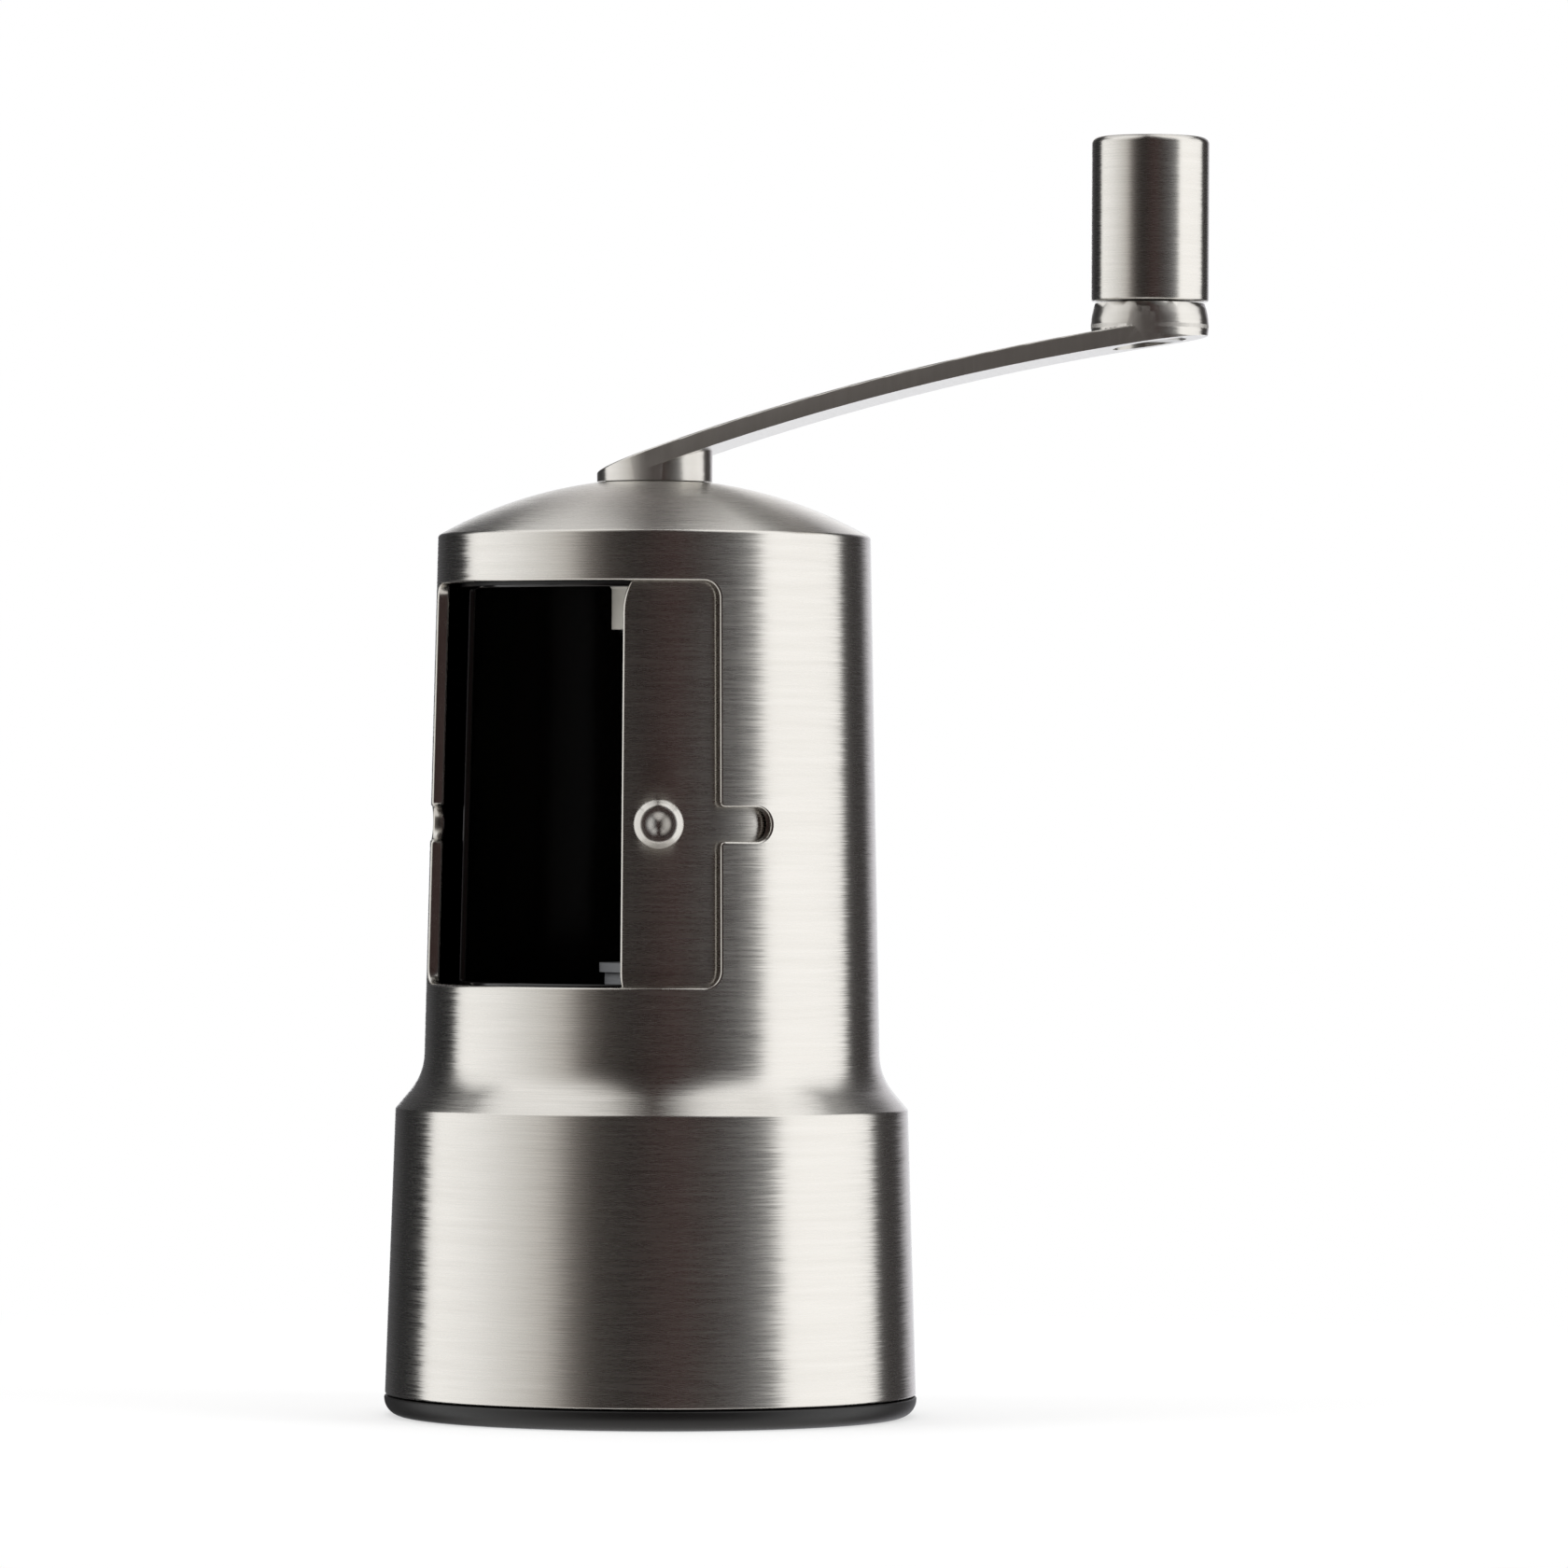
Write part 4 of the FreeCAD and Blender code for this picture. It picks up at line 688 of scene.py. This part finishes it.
# Liner: the CAD shape, with its edges rounded so that they catch a line of light
LINER_EDGE = 0.25
liner_mesh = tidied(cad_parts["hopper_liner"].data.copy(), sharp=50)
liner_mesh = tidied(eased(liner_mesh, LINER_EDGE), sharp=60)
finished("liner", liner_mesh, [liner_black], "body", "gloss_black", "hopper_liner")

# Housing screws with cross recesses, seen from below with the lid off
SCREW_NODES = ("housing_screw_1", "housing_screw_2", "housing_screw_3")
SCREW_SEED = 4
screw_low, screw_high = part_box(SCREW_NODES[0])
SCREW_LOW, SCREW_HIGH = screw_low[2] / MM, screw_high[2] / MM
SCREW_SEAT = SCREW_LOW + SCREW_HEAD
SCREW_RING = screw_high[0] - SCREW_HEAD_R * MM
RECESS_HALF, RECESS_REACH, RECESS_SLOPE, RECESS_DEEP = 0.32, 1.5, 0.2, 1.0
# Close rings across the face of the head, for the recess to be pressed into
face_rings = [(n * 0.1, SCREW_LOW, 0) for n in range(20)]
screw_section = rounded_path((
    *face_rings, (SCREW_HEAD_R, SCREW_LOW, 0.5), (SCREW_HEAD_R, SCREW_SEAT, 0.15),
    (SCREW_R, SCREW_SEAT, 0), (SCREW_R, SCREW_HIGH, 0.3), (0, SCREW_HIGH, 0)), step=15)
screw_mesh = turned("screw", screw_section, pin_steel, steps=96)
for vertex in screw_mesh.vertices:
    x, y, z = (abs(part) / MM for part in vertex.co)
    if z < SCREW_LOW + HAIR:
        beyond = max(min(x, y) - RECESS_HALF, max(x, y) - RECESS_REACH)
        vertex.co.z += RECESS_DEEP * MM * min(1, max(0, 1 - beyond / RECESS_SLOPE))
screws_mesh = put_through(
    ring_of_screws(), "screws", screw_mesh,
    Count=len(SCREW_NODES), Radius=SCREW_RING, Seed=SCREW_SEED, Finish=pin_steel)
screws_mesh = tidied(screws_mesh, sharp=35)
finished("housing_screws", screws_mesh, [pin_steel], "body", "plain_steel", *SCREW_NODES)

# Set: white floor and background, a drum of panels that only reflections see, soft lamps
TOWARDS = Vector((math.sin(CAMERA_TURN), -math.cos(CAMERA_TURN), 0))
RIGHT = Vector((math.cos(CAMERA_TURN), math.sin(CAMERA_TURN), 0))
LAMP_AIM = Vector((0, 0, 0.09))
WHITE = (1, 1, 1, 1)


def seen_white(tree):
    """1 for rays that look at the background itself, also in metal or glass."""
    path = add(tree, "ShaderNodeLightPath")
    either = add(tree, "ShaderNodeMath", {
        0: path.outputs["Is Camera Ray"], 1: path.outputs["Is Glossy Ray"]}, operation="MAXIMUM")
    return add(tree, "ShaderNodeMath", {
        0: either.outputs["Value"], 1: path.outputs["Is Transmission Ray"]},
        operation="MAXIMUM").outputs["Value"]


def set_direction(degrees):
    """Level direction from the object, turned right from the camera."""
    angle = math.radians(degrees)
    return TOWARDS * math.cos(angle) + RIGHT * math.sin(angle)


def turned_card(name, start, end, outline, material, steps=48):
    """A card swept round the object between two directions. Only reflections see it."""
    corners, faces = [], []
    rows = len(outline)
    for step in range(steps + 1):
        way = set_direction(start + (end - start) * step / steps)
        corners += [way * away + Vector((0, 0, height)) for away, height in outline]
    for step in range(steps):
        for row in range(rows - 1):
            at = step * rows + row
            faces.append((at, at + rows, at + rows + 1, at + 1))
    mesh = bpy.data.meshes.new(name)
    mesh.from_pydata(corners, [], faces)
    mesh.materials.append(material)
    card = held(name, mesh)
    card.visible_camera = False
    card.visible_diffuse = False
    card.visible_shadow = False


def soft_lamp(name, degrees, height, distance, width, tall, power):
    """A wide lamp that lights the object and isn't seen itself."""
    lamp = bpy.data.lights.new(name, "AREA")
    lamp.shape = "RECTANGLE"
    lamp.size = width
    lamp.size_y = tall
    lamp.energy = power
    holder = held(name, lamp)
    holder.location = set_direction(degrees) * distance + Vector((0, 0, height))
    aim = LAMP_AIM - holder.location
    holder.rotation_euler = aim.to_track_quat("-Z", "Y").to_euler()
    holder.visible_camera = False
    holder.visible_glossy = False


def painted_ramp(tree, stops, given):
    """Colour ramp from (value, hex) stops, over the range that they span."""
    low, high = stops[0][0], stops[-1][0]
    share = add(tree, "ShaderNodeMapRange", {"Value": given, "From Min": low, "From Max": high})
    ramp = add(tree, "ShaderNodeValToRGB", {"Fac": share.outputs["Result"]})
    points = ramp.color_ramp.elements
    for _ in stops[2:]:
        points.new(0.5)
    for point, (at, code) in zip(points, stops):
        point.position = (at - low) / (high - low)
        point.color = srgb(code)
    return ramp.outputs["Color"]


# Directions are degrees to the right of the camera. A wide soft box stands at each side,
# the left one fading towards the camera, with black cloth between and behind them.
PANELS = (
    (-180, "#5E5E60"), (-140, "#2B2B2C"), (-118, "#262627"), (-113.5, "#FFFFFF"), (-82, "#EAEAEA"),
    (-58, "#CCCBC9"), (-46, "#B4B1AE"), (-34, "#5E5956"), (-24, "#2D2826"), (-10, "#252120"), (12, "#392C2B"),
    (26, "#342E2D"), (40, "#464445"), (50, "#666667"), (55, "#8A8A8A"), (61, "#FFFFFF"), (113, "#FFFFFF"),
    (118, "#3A3838"), (142, "#343232"), (158, "#C4C3C8"), (166, "#C4C3C8"), (180, "#5E5E60"))
# Heights in metres from the object's foot
BACKDROP = (
    (-0.9, "#DADCE1"), (0.26, "#E4E5E8"), (0.3, "#FFFFFF"), (0.48, "#E6E4E4"), (0.62, "#B4AFAE"),
    (0.74, "#7A7472"), (0.85, "#443E3C"), (1.1, "#302B2A"))
BACKDROP_FROM, BACKDROP_TO = 166, 191
PANEL_LEVEL, DIM_LEVEL = 1.3, 0.95
DRUM_R, DRUM_LOW = 0.9, -0.9
CEILING_LOW, CEILING_HIGH = 0.7, 1.2
TABLE_HIGH, TABLE_LOW = -0.7, -0.9
CLOTH_HIDDEN_FROM, CLOTH_HIDDEN_TO, CLOTH_EDGE = 0.52, 0.93, 95
DIM_BEHIND, DIM_ABOVE = -0.5, 0.4

drum_paint, drum_tree, _ = new_material("Studio panels")
drum_place = add(drum_tree, "ShaderNodeMapping", {
    "Vector": add(drum_tree, "ShaderNodeTexCoord").outputs["Object"],
    "Rotation": (0, 0, math.pi / 2 - CAMERA_TURN)})
drum_split = add(drum_tree, "ShaderNodeSeparateXYZ", {"Vector": drum_place.outputs["Vector"]})
drum_angle = add(drum_tree, "ShaderNodeMath", {
    0: drum_split.outputs["Y"], 1: drum_split.outputs["X"]}, operation="ARCTAN2")
# The side boxes lean in overhead, so the dark gap in front narrows with height and the
# cloth behind them is hidden.
drum_height = add(drum_tree, "ShaderNodeMapRange", {
    "Value": drum_split.outputs["Z"], "From Min": CEILING_LOW, "From Max": CEILING_HIGH}).outputs["Result"]
drum_lean = add(drum_tree, "ShaderNodeMapRange", {
    "Value": drum_height, "To Min": math.degrees(1), "To Max": 2 * math.degrees(1)})
drum_limit = add(drum_tree, "ShaderNodeMapRange", {
    "Value": drum_split.outputs["Z"], "From Min": CLOTH_HIDDEN_FROM, "From Max": CLOTH_HIDDEN_TO,
    "To Min": 180, "To Max": CLOTH_EDGE})
drum_turn = add(drum_tree, "ShaderNodeMath", {
    0: drum_angle.outputs["Value"], 1: drum_lean.outputs["Result"]}, operation="MULTIPLY")
drum_least = add(drum_tree, "ShaderNodeMath", {
    0: drum_limit.outputs["Result"], 1: -1.0}, operation="MULTIPLY")
drum_shown = add(drum_tree, "ShaderNodeClamp", {
    "Value": drum_turn.outputs["Value"], "Min": drum_least.outputs["Value"],
    "Max": drum_limit.outputs["Result"]})
# Far below the object lies a pale table.
drum_table = add(drum_tree, "ShaderNodeMapRange", {
    "Value": drum_split.outputs["Z"], "From Min": TABLE_HIGH, "From Max": TABLE_LOW})
drum_colour = add(drum_tree, "ShaderNodeMix", {
    "Factor": drum_table.outputs["Result"],
    "A": painted_ramp(drum_tree, PANELS, drum_shown.outputs["Result"]), "B": srgb("#D6D4D2")},
    data_type="RGBA")
# The dome sees what is high up behind it, where the boxes are dimmer.
drum_behind = add(drum_tree, "ShaderNodeMapRange", {
    "Value": drum_split.outputs["X"], "From Min": 0.0, "From Max": DIM_BEHIND})
drum_above = add(drum_tree, "ShaderNodeMapRange", {
    "Value": drum_split.outputs["Z"], "From Min": DIM_ABOVE, "From Max": CEILING_LOW})
drum_dim = add(drum_tree, "ShaderNodeMath", {
    0: drum_behind.outputs["Result"], 1: drum_above.outputs["Result"]}, operation="MULTIPLY")
drum_level = add(drum_tree, "ShaderNodeMapRange", {
    "Value": drum_dim.outputs["Value"], "To Min": PANEL_LEVEL, "To Max": DIM_LEVEL})
drum_glow = add(drum_tree, "ShaderNodeEmission", {
    "Color": drum_colour.outputs["Result"], "Strength": drum_level.outputs["Result"]})
drum_tree.links.new(drum_glow.outputs["Emission"], drum_tree.nodes["Material Output"].inputs["Surface"])
# Cards are outlined by distance and height in metres.
turned_card("studio_panels", -180, 180, (
    (0.0, DRUM_LOW), (DRUM_R, DRUM_LOW), (DRUM_R, CEILING_LOW), (0.6, 1.05), (0.0, CEILING_HIGH)),
    drum_paint, steps=120)

back_paint, back_tree, _ = new_material("Studio backdrop")
back_split = add(back_tree, "ShaderNodeSeparateXYZ", {
    "Vector": add(back_tree, "ShaderNodeTexCoord").outputs["Object"]})
back_glow = add(back_tree, "ShaderNodeEmission", {
    "Color": painted_ramp(back_tree, BACKDROP, back_split.outputs["Z"]), "Strength": PANEL_LEVEL})
back_tree.links.new(back_glow.outputs["Emission"], back_tree.nodes["Material Output"].inputs["Surface"])
turned_card("studio_backdrop", BACKDROP_FROM, BACKDROP_TO, (
    (0.85, DRUM_LOW), (0.85, CEILING_LOW), (0.55, 1.02), (0.2, 1.1)), back_paint)

# The floor's own shade and the object's shadow show near it, and fade to white further off.
FLOOR_SIZE = 6
SHADE_FROM, SHADE_TO, SHADE_WHITE = 0.05, 0.3, 0.55
floor_mesh = bpy.data.meshes.new("floor")
floor_corners = [(x * FLOOR_SIZE, y * FLOOR_SIZE, 0) for x, y in ((-1, -1), (1, -1), (1, 1), (-1, 1))]
floor_mesh.from_pydata(floor_corners, [], [(0, 1, 2, 3)])
floor_paint, floor_tree, floor_shader = new_material(
    "Matt white floor", Base_Color=srgb("#F4F4F4"), Roughness=0.9)
floor_glow = add(floor_tree, "ShaderNodeEmission", {"Color": WHITE, "Strength": 1.0})
floor_place = add(floor_tree, "ShaderNodeVectorMath", {
    0: add(floor_tree, "ShaderNodeTexCoord").outputs["Object"]}, operation="LENGTH")
floor_fade = add(floor_tree, "ShaderNodeMapRange", {
    "Value": floor_place.outputs["Value"], "From Min": SHADE_FROM, "From Max": SHADE_TO,
    "To Min": SHADE_WHITE, "To Max": 1.0})
floor_share = add(floor_tree, "ShaderNodeMath", {
    0: seen_white(floor_tree), 1: floor_fade.outputs["Result"]}, operation="MULTIPLY")
floor_mix = add(floor_tree, "ShaderNodeMixShader", {
    "Fac": floor_share.outputs["Value"], 1: floor_shader.outputs["BSDF"], 2: floor_glow.outputs["Emission"]})
floor_tree.links.new(floor_mix.outputs["Shader"], floor_tree.nodes["Material Output"].inputs["Surface"])
floor_mesh.materials.append(floor_paint)
floor = held("floor", floor_mesh)
floor.visible_glossy = False

# White behind everything, and a weaker light from it on the object
SKY_LIGHT = 0.55
world = bpy.data.worlds.new("studio")
world.use_nodes = True
sky = world.node_tree
sky_back = sky.nodes["Background"]
sky_back.inputs["Color"].default_value = WHITE
sky_level = add(sky, "ShaderNodeMapRange", {"Value": seen_white(sky), "To Min": SKY_LIGHT, "To Max": 1.0})
sky.links.new(sky_level.outputs["Result"], sky_back.inputs["Strength"])
bpy.context.scene.world = world
soft_lamp("lamp_left", degrees=-70, height=0.6, distance=1.0, width=0.7, tall=0.9, power=7)
soft_lamp("lamp_right", degrees=65, height=0.6, distance=1.0, width=0.7, tall=0.9, power=7)
soft_lamp("lamp_top", degrees=180, height=1.2, distance=0.2, width=0.8, tall=0.8, power=5)

# Camera: a long lens, a little right of the object's axis and tipped up by a few pixels
LENS_PIXELS = 10000
FRAME_PIXELS = 1680
PIXEL = 0.1407 * MM
CAMERA_AWAY = LENS_PIXELS * PIXEL
CAMERA_Z = 0.0896
ASIDE_PIXELS, TIP_PIXELS = 140, 40
PITCH = math.atan(TIP_PIXELS / LENS_PIXELS)
ROLL = math.radians(0.27)
camera_data = bpy.data.cameras.new("camera")
camera_data.sensor_width = 36
camera_data.lens = camera_data.sensor_width * LENS_PIXELS / FRAME_PIXELS
camera_data.clip_end = 100
camera = held("camera", camera_data)
camera.location = TOWARDS * CAMERA_AWAY + RIGHT * ASIDE_PIXELS * PIXEL + Vector((0, 0, CAMERA_Z))
camera.rotation_euler = (
    Matrix.Rotation(CAMERA_TURN, 3, "Z") @ Matrix.Rotation(math.pi / 2 + PITCH, 3, "X")
    @ Matrix.Rotation(ROLL, 3, "Z")).to_euler()
bpy.context.scene.camera = camera
bpy.context.scene.view_settings.view_transform = "Standard"
